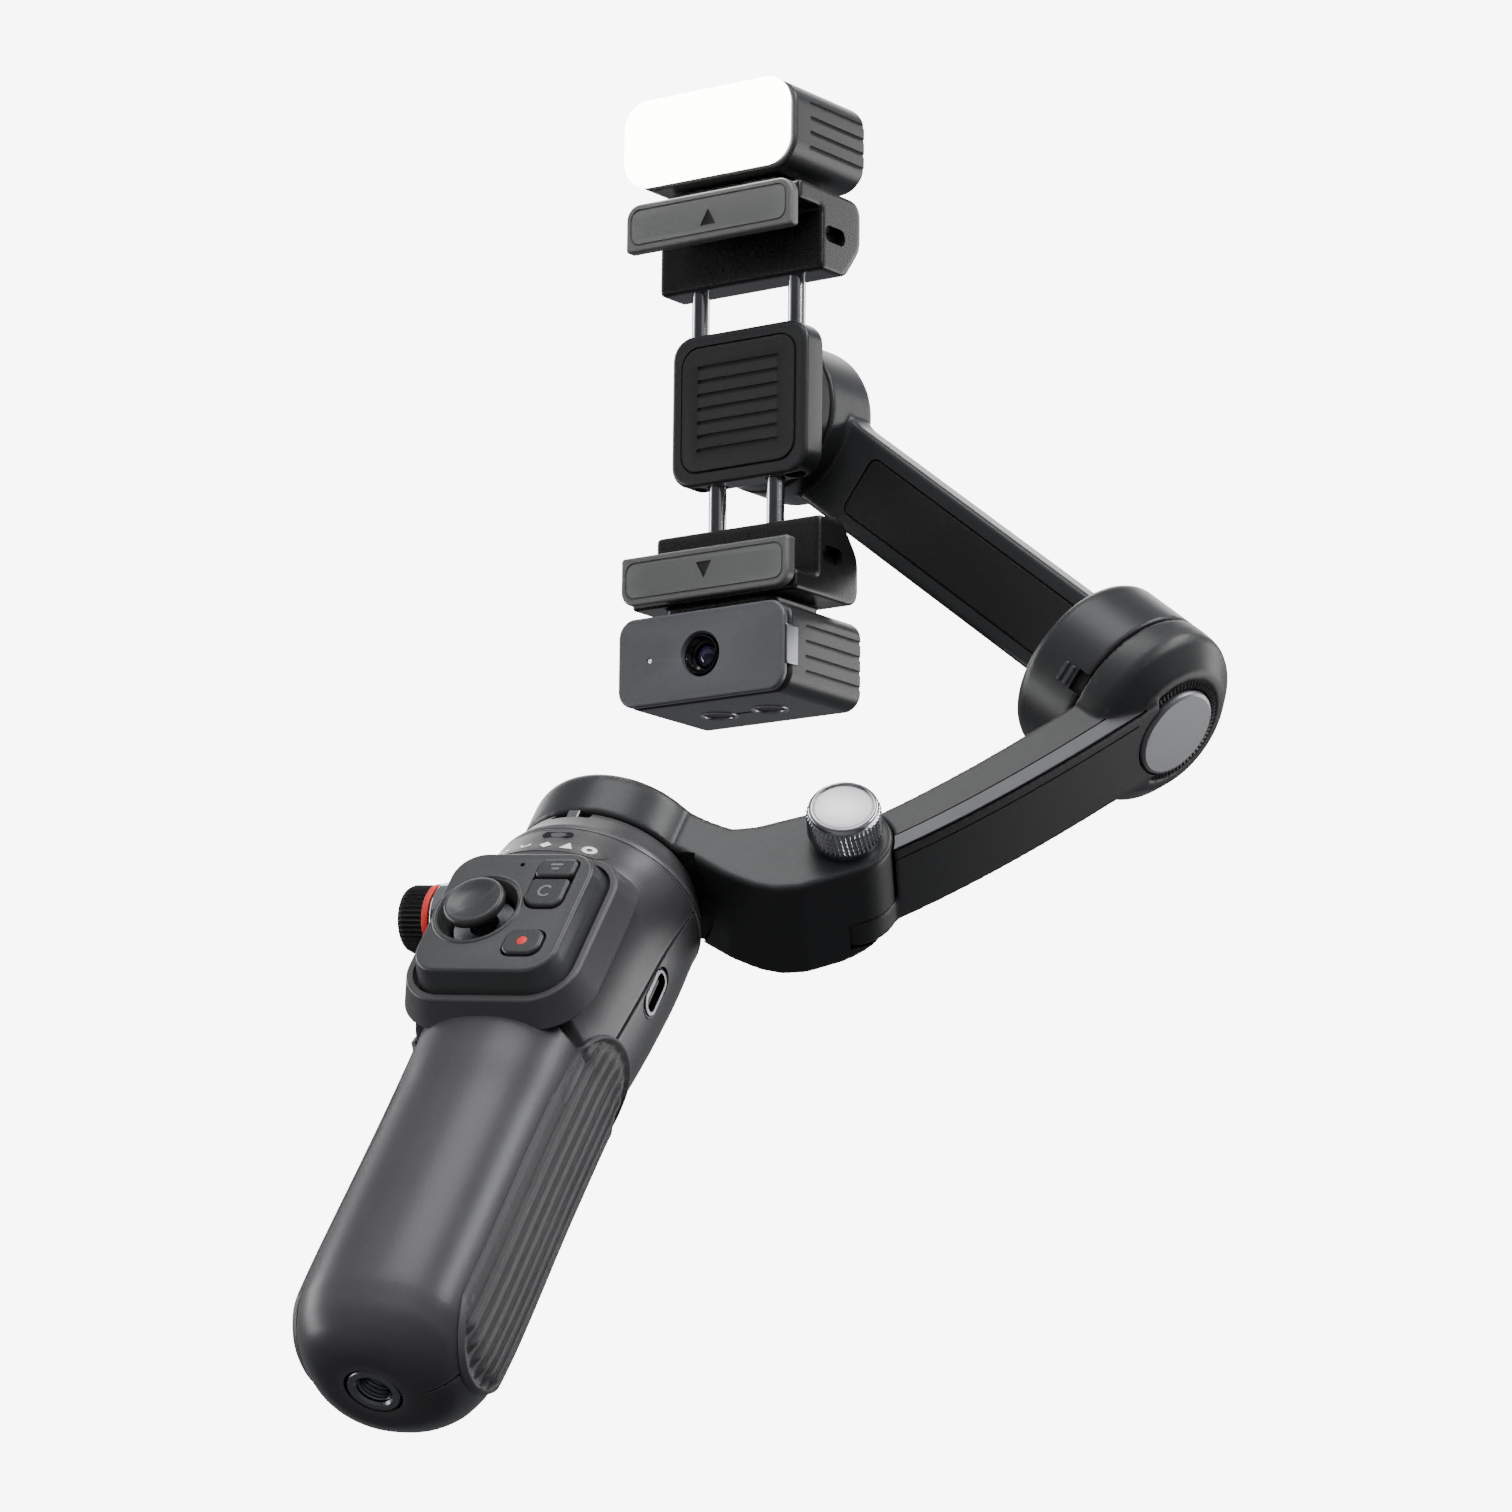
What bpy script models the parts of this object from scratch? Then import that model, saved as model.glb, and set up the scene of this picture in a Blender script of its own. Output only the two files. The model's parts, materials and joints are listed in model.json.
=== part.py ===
"""Three-axis phone gimbal: handle, folding arm, tilt and roll arms, phone clamp, light and tracking camera.

The handle stands on +Z, its control panel faces -Y, and the origin is the middle of its flat bottom face.
Lengths below are millimetres, angles are degrees, and MM turns them into Blender's metres.
"""
import math

import bmesh
import bpy
from mathutils import Matrix, Vector

MM = 0.001
GAP = 0.3                      # clearance between neighbouring solids
CLOSE = 1e-5                   # merge distance, metres

# --- driving dimensions: the four motor-axis angles of the resting pose ---
PAN_ANGLE = 14.2               # arm plane, turned about the handle
TILT_SLOPE = 32.0              # tilt axis, below the horizontal
TILT_ANGLE = 43.8              # clamp arm, turned about the tilt axis
ROLL_ANGLE = 37.4              # clamp, turned about the roll axis

# --- handle ---
HANDLE_TOP = 125.4             # seam under the neck collar
HEAD_RADIUS = 21.8
SHELL_WALL = 2.0
PANEL_CENTRE = (0.0, 97.5)     # x, z
PANEL_SIZE = (30.0, 31.5)
PANEL_FACE = -27.0             # y of the panel's front
PANEL_DEPTH = 7.6
PANEL_FLARE = 1.6              # how far the base spreads beyond the face
STICK_CENTRE = (-5.8, 0.5)
STICK_PIVOT = -5.0
KEY_X = 7.4
KEY_TRAVEL = 0.6
GRIP_LOW, GRIP_HIGH = 5.0, 88.0
GRIP_WIDTH = 24.0
GRIP_CENTRE_Y = 1.5
GRIP_RIBS = 7
GRIP_RISE = 1.2                # pad surface above the shell
LENS_SIZE = (25.0, 4.4)
LENS_Z = 118.8
WHEEL_Y, WHEEL_Z = -12.0, 110.0
USB_Y, USB_Z = 1.0, 103.5
TRIGGER_Y, TRIGGER_Z = 18.0, 114.0

# --- pan motor ---
NECK_TOP = 133.2
NOTCH_AZIMUTH = -3.0          # alignment notch, turned from the front
PAN_RADIUS = 18.9
PAN_LOW = NECK_TOP + GAP
PAN_TOP = 145.5
STATOR_RADIUS = 14.6
STATOR_BORE = 7.6              # bore of the three stators
COLLAR_BORE = 16.2

# --- folding hinge and the knob that locks it (x, z in the arm's plane) ---
HINGE = (46.3, 144.5)
HINGE_RADIUS = 9.2
ARM_FRONT, ARM_BACK = 12.4, -12.4
SLOT_FRONT, SLOT_BACK = -2.2, -9.4
PIN_RADIUS = 3.0
KNOB_RADIUS = 7.4
KNOB_FRONT = 21.2
KNOB_FLUTES = 20

# --- tilt motor, measured inwards from its outer disc ---
TILT_DISC = (97.6, 199.7)
TILT_RADIUS = 19.5
TILT_SEAM = 12.0
TILT_DEPTH = 27.5
SWING_FRONT, SWING_BACK = 11.0, -8.5

# --- roll motor and clamp ---
ROLL_REACH = 132.0             # outer disc to roll axis
ROLL_OFFSET = 1.4              # roll axis, above the tilt axis
BAR_HALF_WIDTH = 10.1
BAR_FRONT, BAR_BACK = -10.2, -18.0
ROLL_RADIUS = 17.0
ROLL_FRONT, ROLL_BACK = -4.0, -21.0
JAW_OPENING = 76.7
JAW_WIDTH = 43.0
LIP_INNER, LIP_OUTER = 33.3, 43.8
LIP_FRONT, PHONE_FRONT, PHONE_BACK = 18.4, 15.4, 7.15
MODULE_INNER, MODULE_OUTER = 46.8, 66.0
MODULE_WIDTH = 42.6
MODULE_BACK = -9.6
RIM = 1.0                      # bevel of the moulded parts


# ----------------------------------------------------------------- frames
def axes(origin, x_axis, y_axis, z_axis):
    """Matrix of a local frame whose origin is in millimetres."""
    matrix = Matrix((x_axis, y_axis, z_axis)).transposed().to_4x4()
    matrix.translation = Vector(origin) * MM
    return matrix


HANDLE_FRAME = Matrix.Identity(4)
PAN_TURN = Matrix.Rotation(math.radians(PAN_ANGLE), 3, "Z")
ARM_X = PAN_TURN @ Vector((1, 0, 0))
ARM_FORWARD = PAN_TURN @ Vector((0, -1, 0))
UP = Vector((0, 0, 1))
ARM_PLANE = axes((0, 0, 0), ARM_X, UP, ARM_FORWARD)          # x outwards, y up, z forwards
PAN_FRAME = axes((0, 0, 0), ARM_X, -ARM_FORWARD, UP)


def arm_point(x, z, forward=0.0):
    """World position, in millimetres, of a point given in the arm's plane."""
    return ARM_X * x + UP * z + ARM_FORWARD * forward


TILT_OUT = ARM_X * math.cos(math.radians(TILT_SLOPE)) - UP * math.sin(math.radians(TILT_SLOPE))
TILT_ORIGIN = arm_point(*TILT_DISC)
SWING_MOTOR = axes(TILT_ORIGIN, ARM_FORWARD, TILT_OUT.cross(ARM_FORWARD), TILT_OUT)
ROLL_OUT = Matrix.Rotation(math.radians(TILT_ANGLE), 3, TILT_OUT) @ ARM_FORWARD
ROLL_UP = ROLL_OUT.cross(TILT_OUT)
BAR_FRAME = axes(TILT_ORIGIN, TILT_OUT, ROLL_UP, ROLL_OUT)   # x outwards along the tilt axis, z forwards
TILT_MOTOR = axes(TILT_ORIGIN, ROLL_OUT, TILT_OUT.cross(ROLL_OUT), TILT_OUT)
ROLL_ORIGIN = TILT_ORIGIN - TILT_OUT * ROLL_REACH + ROLL_UP * ROLL_OFFSET
ROLL_FRAME = axes(ROLL_ORIGIN, TILT_OUT, ROLL_UP, ROLL_OUT)
CLAMP_X = Matrix.Rotation(math.radians(ROLL_ANGLE), 3, ROLL_OUT) @ TILT_OUT
CLAMP_FRAME = axes(ROLL_ORIGIN, CLAMP_X, ROLL_OUT.cross(CLAMP_X), ROLL_OUT)
PANEL_FRAME = axes((PANEL_CENTRE[0], PANEL_FACE, PANEL_CENTRE[1]), (1, 0, 0), (0, 0, 1), (0, -1, 0))
SIDE_FRAME = axes((0, 0, 0), (0, 1, 0), (0, 0, 1), (1, 0, 0))  # x is +Y, y is +Z, z is +X
FRONT_FRAME = axes((0, 0, 0), (1, 0, 0), (0, 0, 1), (0, -1, 0))  # x is +X, y is +Z, z is -Y


# ----------------------------------------------------------------- scene and materials
for old in list(bpy.data.objects):
    bpy.data.objects.remove(old)

PARTS = bpy.data.collections.new("phone_gimbal")
CUTTERS = bpy.data.collections.new("cutters")
bpy.context.scene.collection.children.link(PARTS)
bpy.context.scene.collection.children.link(CUTTERS)


def linear(value):
    """One sRGB channel, 0 to 255, as a linear value."""
    share = value / 255
    return share / 12.92 if share <= 0.04045 else ((share + 0.055) / 1.055) ** 2.4


def material(name, colour, metallic, roughness):
    """Principled material from an sRGB colour."""
    made = bpy.data.materials.new(name)
    made.use_nodes = True
    shader = made.node_tree.nodes["Principled BSDF"]
    shader.inputs["Base Color"].default_value = (*map(linear, colour), 1)
    shader.inputs["Metallic"].default_value = metallic
    shader.inputs["Roughness"].default_value = roughness
    return made


SHELL_GREY = material("shell_grey", (74, 74, 76), 0.0, 0.5)
DARK_PLASTIC = material("dark_plastic", (34, 34, 36), 0.0, 0.45)
GRIP_RUBBER = material("grip_rubber", (40, 40, 42), 0.0, 0.85)
GLOSS_BLACK = material("gloss_black", (14, 14, 15), 0.0, 0.12)
SILVER = material("silver_metal", (168, 168, 170), 1.0, 0.3)
STEEL = material("steel", (140, 142, 145), 1.0, 0.35)
COPPER = material("copper_winding", (170, 96, 52), 1.0, 0.4)
CELL_BLUE = material("cell_wrap", (38, 74, 120), 0.0, 0.4)
BOARD_GREEN = material("circuit_board", (24, 70, 48), 0.0, 0.5)
PAD_RUBBER = material("pad_rubber", (26, 26, 28), 0.0, 0.9)
CLAMP_GREY = material("clamp_grey", (96, 97, 94), 0.2, 0.45)
DIFFUSER = material("diffuser_white", (250, 248, 240), 0.0, 0.4)
LENS_GLASS = material("lens_glass", (10, 12, 18), 0.0, 0.04)


# ----------------------------------------------------------------- bodies
def body(name, frame, parent=None):
    """Empty on a joint's axis, which carries the body's pieces."""
    empty = bpy.data.objects.new(name, None)
    empty.empty_display_size = 10 * MM
    PARTS.objects.link(empty)
    if parent is not None:
        empty.parent = parent
        empty.matrix_parent_inverse = parent.matrix_basis.inverted()
    empty.matrix_basis = frame
    return empty


def moved(frame, x=0.0, y=0.0, z=0.0):
    """The same frame with its origin shifted along its own axes."""
    return frame @ Matrix.Translation(Vector((x, y, z)) * MM)


# ----------------------------------------------------------------- shapes
def add_object(name, mesh, frame, paint=None, carrier=None, smooth=True):
    """Link a mesh as a finished part, or as a cutter when it has no paint."""
    made = bpy.data.objects.new(name, mesh)
    made.matrix_basis = frame
    if paint is None:
        CUTTERS.objects.link(made)
        made.hide_render = True
        made.display_type = "WIRE"
    else:
        PARTS.objects.link(made)
        mesh.materials.append(paint)
        made.parent = carrier
        made.matrix_parent_inverse = carrier.matrix_basis.inverted()
    if smooth:
        mesh.shade_smooth()
        mesh.set_sharp_from_angle(angle=math.radians(35))
    return made


def bevel(made, width=RIM, segments=2, angle=40):
    """Round the sharp edges."""
    rounding = made.modifiers.new("rounding", "BEVEL")
    rounding.width = width * MM
    rounding.segments = segments
    rounding.limit_method = "ANGLE"
    rounding.angle_limit = math.radians(angle)
    return made


def boolean(made, other, operation):
    """Boolean modifier with the exact solver."""
    step = made.modifiers.new(operation.lower(), "BOOLEAN")
    step.operation = operation
    step.solver = "EXACT"
    step.object = other
    return made


def cut(made, *cutters):
    """Take cutters away from a part."""
    for cutter in cutters:
        boolean(made, cutter, "DIFFERENCE")
    return made


def join(made, *others):
    """Weld other shapes, kept as cutters, to a part."""
    for other in others:
        boolean(made, other, "UNION")
    return made


def turned(name, profile, frame, paint=None, carrier=None, steps=32, ring=False):
    """Solid of revolution about the frame's z axis, from (radius, height) points, top to bottom outside."""
    mesh = bpy.data.meshes.new(name)
    verts = [(radius * MM, 0, height * MM) for radius, height in profile]
    edges = [(i, i + 1) for i in range(len(profile) - 1)]
    if ring:
        edges.append((len(profile) - 1, 0))
    mesh.from_pydata(verts, edges, [])
    made = add_object(name, mesh, frame, paint, carrier, smooth=False)
    spin = made.modifiers.new("spin", "SCREW")
    spin.axis = "Z"
    spin.steps = steps
    spin.render_steps = steps
    spin.use_merge_vertices = True
    spin.merge_threshold = CLOSE
    spin.use_smooth_shade = True
    return made


def plate(name, outline, low, high, frame, paint=None, carrier=None):
    """Flat outline in the frame's x-y plane, filled and extruded from low to high along z."""
    curve = bpy.data.curves.new(name, "CURVE")
    curve.dimensions = "2D"
    curve.fill_mode = "BOTH"
    curve.extrude = (high - low) / 2 * MM
    spline = curve.splines.new("POLY")
    spline.points.add(len(outline) - 1)
    for point, (x, y) in zip(spline.points, outline):
        point.co = (x * MM, y * MM, 0, 1)
    spline.use_cyclic_u = True
    guide = bpy.data.objects.new(name + "_outline", curve)
    CUTTERS.objects.link(guide)
    graph = bpy.context.evaluated_depsgraph_get()
    mesh = bpy.data.meshes.new_from_object(guide.evaluated_get(graph))
    mesh.name = name
    bpy.data.objects.remove(guide)
    bm = bmesh.new()
    bm.from_mesh(mesh)
    bmesh.ops.remove_doubles(bm, verts=bm.verts, dist=CLOSE)
    bmesh.ops.dissolve_limit(bm, angle_limit=math.radians(1), verts=bm.verts, edges=bm.edges)
    bmesh.ops.translate(bm, verts=bm.verts, vec=(0, 0, (high + low) / 2 * MM))
    bmesh.ops.recalc_face_normals(bm, faces=bm.faces)
    bm.to_mesh(mesh)
    bm.free()
    mesh.materials.clear()
    return add_object(name, mesh, frame, paint, carrier)


def box(name, low, high, frame, paint=None, carrier=None):
    """Axis-aligned box between two corners of the frame."""
    bm = bmesh.new()
    bmesh.ops.create_cube(bm, size=1)
    size = [(b - a) * MM for a, b in zip(low, high)]
    middle = [(b + a) / 2 * MM for a, b in zip(low, high)]
    bmesh.ops.scale(bm, verts=bm.verts, vec=size)
    bmesh.ops.translate(bm, verts=bm.verts, vec=middle)
    mesh = bpy.data.meshes.new(name)
    bm.to_mesh(mesh)
    bm.free()
    return add_object(name, mesh, frame, paint, carrier)


def drum(name, radius, low, high, frame, paint=None, carrier=None, steps=32):
    """Plain cylinder on the frame's z axis."""
    return turned(name, [(0, high), (radius, high), (radius, low), (0, low)], frame, paint, carrier, steps)


def rounded(corners, radius, steps=5):
    """Outline of a convex polygon with every corner an arc; a corner may carry its own radius."""
    outline = []
    count = len(corners)
    for index, corner in enumerate(corners):
        here = Vector(corner[:2])
        size = corner[2] if len(corner) > 2 else radius
        before = (Vector(corners[index - 1][:2]) - here).normalized()
        after = (Vector(corners[(index + 1) % count][:2]) - here).normalized()
        half = before.angle(after) / 2
        centre = here + (before + after).normalized() * (size / math.sin(half))
        start = here + before * (size / math.tan(half)) - centre
        end = here + after * (size / math.tan(half)) - centre
        sweep = start.angle_signed(end)
        for step in range(steps + 1):
            outline.append(tuple(centre + Matrix.Rotation(-sweep * step / steps, 2) @ start))
    return outline


def rectangle(width, height, centre=(0.0, 0.0)):
    """Corners of a rectangle, anticlockwise."""
    x, y = centre
    return [(x - width / 2, y - height / 2), (x + width / 2, y - height / 2),
            (x + width / 2, y + height / 2), (x - width / 2, y + height / 2)]


def arc(centre, radius, start, end, steps):
    """Points of an arc, angles in degrees."""
    points = []
    for step in range(steps + 1):
        angle = math.radians(start + (end - start) * step / steps)
        points.append((centre[0] + radius * math.cos(angle), centre[1] + radius * math.sin(angle)))
    return points


def loft(name, sections, frame, paint=None, carrier=None):
    """Closed skin through rings of equal point count, the first and last ring capped."""
    bm = bmesh.new()
    rings = [[bm.verts.new(Vector(point) * MM) for point in section] for section in sections]
    count = len(rings[0])
    for lower, upper in zip(rings, rings[1:]):
        for i in range(count):
            j = (i + 1) % count
            bm.faces.new((lower[i], lower[j], upper[j], upper[i]))
    bm.faces.new(list(reversed(rings[0])))
    bm.faces.new(rings[-1])
    bmesh.ops.recalc_face_normals(bm, faces=bm.faces)
    mesh = bpy.data.meshes.new(name)
    bm.to_mesh(mesh)
    bm.free()
    return add_object(name, mesh, frame, paint, carrier)


# ----------------------------------------------------------------- handle shell
# height, half width, front y, back y, roundness (2 is an ellipse, more is squarer)
HANDLE_STATIONS = (
    (0.0, 9.5, -9.5, 9.5, 2.1),
    (1.2, 12.4, -12.6, 12.6, 2.2),
    (3.5, 15.0, -15.2, 15.2, 2.3),
    (7.5, 17.2, -17.2, 17.4, 2.4),
    (13.0, 18.3, -18.2, 18.6, 2.5),
    (24.0, 18.5, -18.4, 19.0, 2.5),
    (56.0, 18.2, -18.4, 18.6, 2.5),
    (74.0, 18.3, -19.0, 18.6, 2.5),
    (82.0, 18.8, -21.6, 19.0, 2.5),
    (89.0, 19.6, -24.6, 19.6, 2.5),
    (98.0, 20.4, -25.6, 20.2, 2.5),
    (108.0, 21.0, -25.6, 20.8, 2.45),
    (115.0, 21.4, -24.8, 21.3, 2.3),
    (120.5, 21.7, -23.2, 21.6, 2.1),
    (HANDLE_TOP, HEAD_RADIUS, -HEAD_RADIUS, HEAD_RADIUS, 2.0),
)
HANDLE_SIDES = 32


def handle_section(station, grow=0.0, height=None):
    """Ring of points round one station, pushed outwards by grow."""
    level, half, front, back, power = station
    half_depth = (back - front) / 2 + grow
    middle = (back + front) / 2
    ring = []
    for step in range(HANDLE_SIDES):
        turn = 2 * math.pi * step / HANDLE_SIDES
        across = math.copysign(abs(math.cos(turn)) ** (2 / power), math.cos(turn))
        along = math.copysign(abs(math.sin(turn)) ** (2 / power), math.sin(turn))
        ring.append(((half + grow) * across, middle + half_depth * along,
                     level if height is None else height))
    return ring


def handle_skin(name, grow, low=None, high=None, paint=None, carrier=None):
    """The handle's outer form grown by a distance, optionally closed off at other end heights."""
    sections = [handle_section(station, grow) for station in HANDLE_STATIONS]
    if low is not None:
        kept = [station for station in HANDLE_STATIONS if station[0] > low + 1][::2]
        sections = [handle_section(kept[0], grow - 1.5, low)] + [handle_section(s, grow) for s in kept]
    if high is not None:
        sections.append(handle_section(HANDLE_STATIONS[-1], grow, high))
    return loft(name, sections, HANDLE_FRAME, paint, carrier)


def make_handle(handle):
    """Two half shells with openings for the panel, lens, wheel, port, trigger and tripod socket."""
    cavity = handle_skin("handle_cavity", -SHELL_WALL, low=4.0, high=HANDLE_TOP + 2)
    front_half = box("front_half", (-60, -GAP / 2, -10), (60, 60, 160), HANDLE_FRAME)
    rear_half = box("rear_half", (-60, -60, -10), (60, GAP / 2, 160), HANDLE_FRAME)
    window = plate("panel_window", rounded(rectangle(*(s + 2 * (PANEL_FLARE + GAP) for s in PANEL_SIZE)), 6),
                   -14, 10, PANEL_FRAME)
    lens_outline = rounded(rectangle(LENS_SIZE[0] + 2 * GAP, LENS_SIZE[1] + 2 * GAP, (0, LENS_Z)),
                           LENS_SIZE[1] / 2 + GAP - 0.01)
    lens_window = plate("lens_window", lens_outline, 15, 30, FRONT_FRAME)
    wheel_hole = drum("wheel_hole", 7.7, -30, -10, moved(SIDE_FRAME, WHEEL_Y, WHEEL_Z), steps=24)
    port_hole = plate("port_hole", rounded(rectangle(5.4, 11.2), 2.69), 10, 30,
                      moved(SIDE_FRAME, USB_Y, USB_Z))
    trigger_hole = box("trigger_hole", (-7.6, 12, 91.5), (7.6, 30, 118.2), HANDLE_FRAME)
    socket_hole = drum("socket_hole", 5.8, -5, 12, HANDLE_FRAME, steps=24)
    front = handle_skin("handle_front_shell", 0.0, paint=SHELL_GREY, carrier=handle)
    cut(front, cavity, front_half, window, lens_window, wheel_hole, port_hole, socket_hole)
    rear = handle_skin("handle_rear_shell", 0.0, paint=SHELL_GREY, carrier=handle)
    cut(rear, cavity, rear_half, port_hole, trigger_hole, socket_hole)


def make_grips(handle):
    """Rubber pads on the grip's two sides, ribbed along their length."""
    bed = handle_skin("grip_bed", GAP)
    groove_floor = handle_skin("groove_floor", GRIP_RISE - 0.55)
    outline = rounded(rectangle(GRIP_WIDTH, GRIP_HIGH - GRIP_LOW,
                                (GRIP_CENTRE_Y, (GRIP_LOW + GRIP_HIGH) / 2)), GRIP_WIDTH / 2 - 0.01, 8)
    pitch = GRIP_WIDTH / (GRIP_RIBS + 1)
    for side, name in ((-1, "left_grip_pad"), (1, "right_grip_pad")):
        near, far = sorted((side * 8.0, side * 30.0))
        pad = handle_skin(name, GRIP_RISE, paint=GRIP_RUBBER, carrier=handle)
        boolean(pad, plate(name + "_outline", outline, near, far, SIDE_FRAME), "INTERSECT")
        cut(pad, bed)
        for rib in range(GRIP_RIBS):
            across = GRIP_CENTRE_Y + pitch * (rib - (GRIP_RIBS - 1) / 2)
            offset = (across - GRIP_CENTRE_Y) / GRIP_WIDTH * 2
            inset = 4.0 + GRIP_WIDTH / 2 * (1 - math.sqrt(1 - offset ** 2))
            groove = box(f"{name}_groove_{rib}", (near, across - 0.5, GRIP_LOW + inset),
                         (far, across + 0.5, GRIP_HIGH - inset), HANDLE_FRAME)
            cut(groove, groove_floor)
            cut(pad, groove)


def make_handle_inside(handle):
    """Battery, circuit board, tripod insert and charging port."""
    turned("battery", [(0, 80), (3, 80), (3, 79), (8.4, 79), (9.2, 78), (9.2, 14), (8.6, 13.4), (0, 13.4)],
           HANDLE_FRAME, CELL_BLUE, handle, 24)
    box("main_board", (-12, -17.8, 83), (12, -16.2, 108), HANDLE_FRAME, BOARD_GREEN, handle)
    turned("tripod_insert", [(0, 11.0), (5.4, 11.0), (5.4, 0.6), (4.9, 0.1), (3.8, 0.1), (3.2, 0.7),
                             (3.2, 9.5), (0, 9.5)], HANDLE_FRAME, STEEL, handle, 24)
    port = plate("usb_port", rounded(rectangle(4.8, 10.6), 2.39), 15.3, 20.7, moved(SIDE_FRAME, USB_Y, USB_Z),
                 STEEL, handle)
    cut(port, plate("port_mouth", rounded(rectangle(3.1, 8.9), 1.54), 16.5, 25,
                    moved(SIDE_FRAME, USB_Y, USB_Z)))


def make_neck(handle):
    """Collar under the pan motor with its alignment notch and tab, and the stator inside it."""
    seam = HANDLE_TOP + GAP
    collar = turned("neck_collar", [(18.3, NECK_TOP), (18.8, 132.8), (19.5, 131.0), (21.2, 127.2),
                                    (21.6, seam), (COLLAR_BORE, seam), (COLLAR_BORE, NECK_TOP)],
                    HANDLE_FRAME, SHELL_GREY, handle, 40, ring=True)
    notch_frame = HANDLE_FRAME @ Matrix.Rotation(math.radians(NOTCH_AZIMUTH), 4, "Z")
    cut(collar, plate("notch", rounded([(-4.4, 131.0), (4.4, 131.0), (3.0, 140.0), (-3.0, 140.0)], 0.4, 2),
                      17.2, 30, notch_frame @ FRONT_FRAME))
    tab = box("pan_lock_tab", (-1.4, -18.9, 131.3), (1.4, -17.5, 133.2), notch_frame, SILVER, handle)
    bevel(tab, 0.3)
    turned("pan_stator", [(STATOR_BORE, 140.5), (12.5, 140.5), (STATOR_RADIUS, 139.5), (STATOR_RADIUS, 124.5),
                          (STATOR_BORE, 124.5)], HANDLE_FRAME, COPPER, handle, 24, ring=True)


def make_panel(handle):
    """Control panel block with the joystick well and the key windows."""
    corners = 6.0
    levels = ((-PANEL_DEPTH, PANEL_FLARE), (-PANEL_DEPTH * 0.6, PANEL_FLARE), (-0.8, 0.0), (0.0, -0.7))
    sections = []
    for level, spread in levels:
        outline = rounded(rectangle(*(size + 2 * spread for size in PANEL_SIZE)), corners + spread, 5)
        sections.append([(x, y, level) for x, y in outline])
    panel = loft("control_panel", sections, PANEL_FRAME, GLOSS_BLACK, handle)
    stick_frame = moved(PANEL_FRAME, *STICK_CENTRE)
    cut(panel,
        turned("stick_well", [(0, 3), (8.3, 3), (8.2, 0), (7.9, -1.8), (6.9, -3.3), (6.9, -12), (0, -12)],
               stick_frame),
        plate("key_window", rounded([(3.0, 0.6, 3.4), (11.9, 0.6, 2.4), (11.9, 13.9), (3.0, 13.9)], 1.6),
              -12, 3, PANEL_FRAME),
        plate("record_window", rounded(rectangle(8.8, 7.2, (KEY_X, -8.5)), 2.6), -12, 3, PANEL_FRAME))
    lens = handle_skin("indicator_lens", 0.1, paint=GLOSS_BLACK, carrier=handle)
    boolean(lens, plate("lens_outline", rounded(rectangle(*LENS_SIZE, (0, LENS_Z)),
                                                LENS_SIZE[1] / 2 - 0.01), 16, 30, FRONT_FRAME), "INTERSECT")
    cut(lens, handle_skin("lens_back", -1.6))


def make_keys(handle):
    """Two mode keys and the record key, each a body that travels into the panel."""
    bottom, top = -4.6, 0.7
    outlines = {
        "upper_key": rounded([(3.35, 8.9), (11.55, 8.9), (11.55, 13.55), (3.35, 13.55)], 1.3, 3),
        "lower_key": rounded([(3.35, 0.95, 3.2), (11.55, 0.95, 2.2), (11.55, 8.3), (3.35, 8.3)], 1.0, 4),
        "record_key": rounded(rectangle(8.1, 6.5, (KEY_X, -8.5)), 2.3, 4),
    }
    for name, outline in outlines.items():
        carrier = body(name + "_axis", PANEL_FRAME, handle)
        bevel(plate(name, outline, bottom, top, PANEL_FRAME, DARK_PLASTIC, carrier), 0.35)


def make_joystick(handle):
    """Cap on a stem whose ball turns in a ring, and the ring turns in the panel."""
    frame = moved(PANEL_FRAME, *STICK_CENTRE)
    pivot = moved(frame, z=STICK_PIVOT)
    ring_body = body("stick_ring_axis", pivot, handle)
    turned("stick_ring", [(6.3, -4.2), (6.3, -5.8), (3.0, -5.8), (3.0, -4.2)], frame, STEEL, ring_body, 24,
           ring=True)
    cap_body = body("stick_axis", pivot, ring_body)
    turned("stick_cap", [(0, 1.7), (3.6, 1.8), (5.2, 2.6), (5.9, 2.5), (6.2, 2.0), (6.2, 1.0), (5.4, 0.4),
                         (1.9, 0.2), (1.9, -3.4), (2.6, -4.3), (2.6, -5.7), (1.6, -6.8), (0, -6.9)], frame,
           DARK_PLASTIC, cap_body, 28)


def make_zoom_wheel(handle):
    """Side dial with its shaft, in a bright bezel."""
    frame = moved(SIDE_FRAME, WHEEL_Y, WHEEL_Z)
    turned("wheel_bezel", [(2.9, -17.4), (7.3, -17.4), (7.3, -22.6), (6.9, -23.0), (2.9, -23.0)],
           frame, SILVER, handle, 28, ring=True)
    carrier = body("zoom_wheel_axis", frame, handle)
    turned("zoom_wheel", [(0, -16.0), (2.5, -16.0), (2.5, -23.3), (6.2, -23.3), (6.5, -23.8), (6.5, -29.8),
                          (5.9, -30.5), (4.6, -30.5), (4.2, -30.1), (0, -30.1)], frame, DARK_PLASTIC,
           carrier, 28)


def make_trigger(handle):
    """Rear trigger, hinged at its top edge."""
    carrier = body("trigger_axis", moved(SIDE_FRAME, TRIGGER_Y, TRIGGER_Z), handle)
    outline = rounded([(16.4, 117.4, 1.2), (16.6, 108.0, 4.0), (19.0, 94.0, 0.6), (22.2, 92.6, 1.0),
                       (25.0, 97.0, 3.0), (24.0, 108.0, 6.0), (21.9, 117.4, 1.0)], 1.0, 3)
    trigger = plate("trigger", outline, -6.9, 6.9, SIDE_FRAME, DARK_PLASTIC, carrier)
    bevel(trigger, 0.8)


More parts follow.
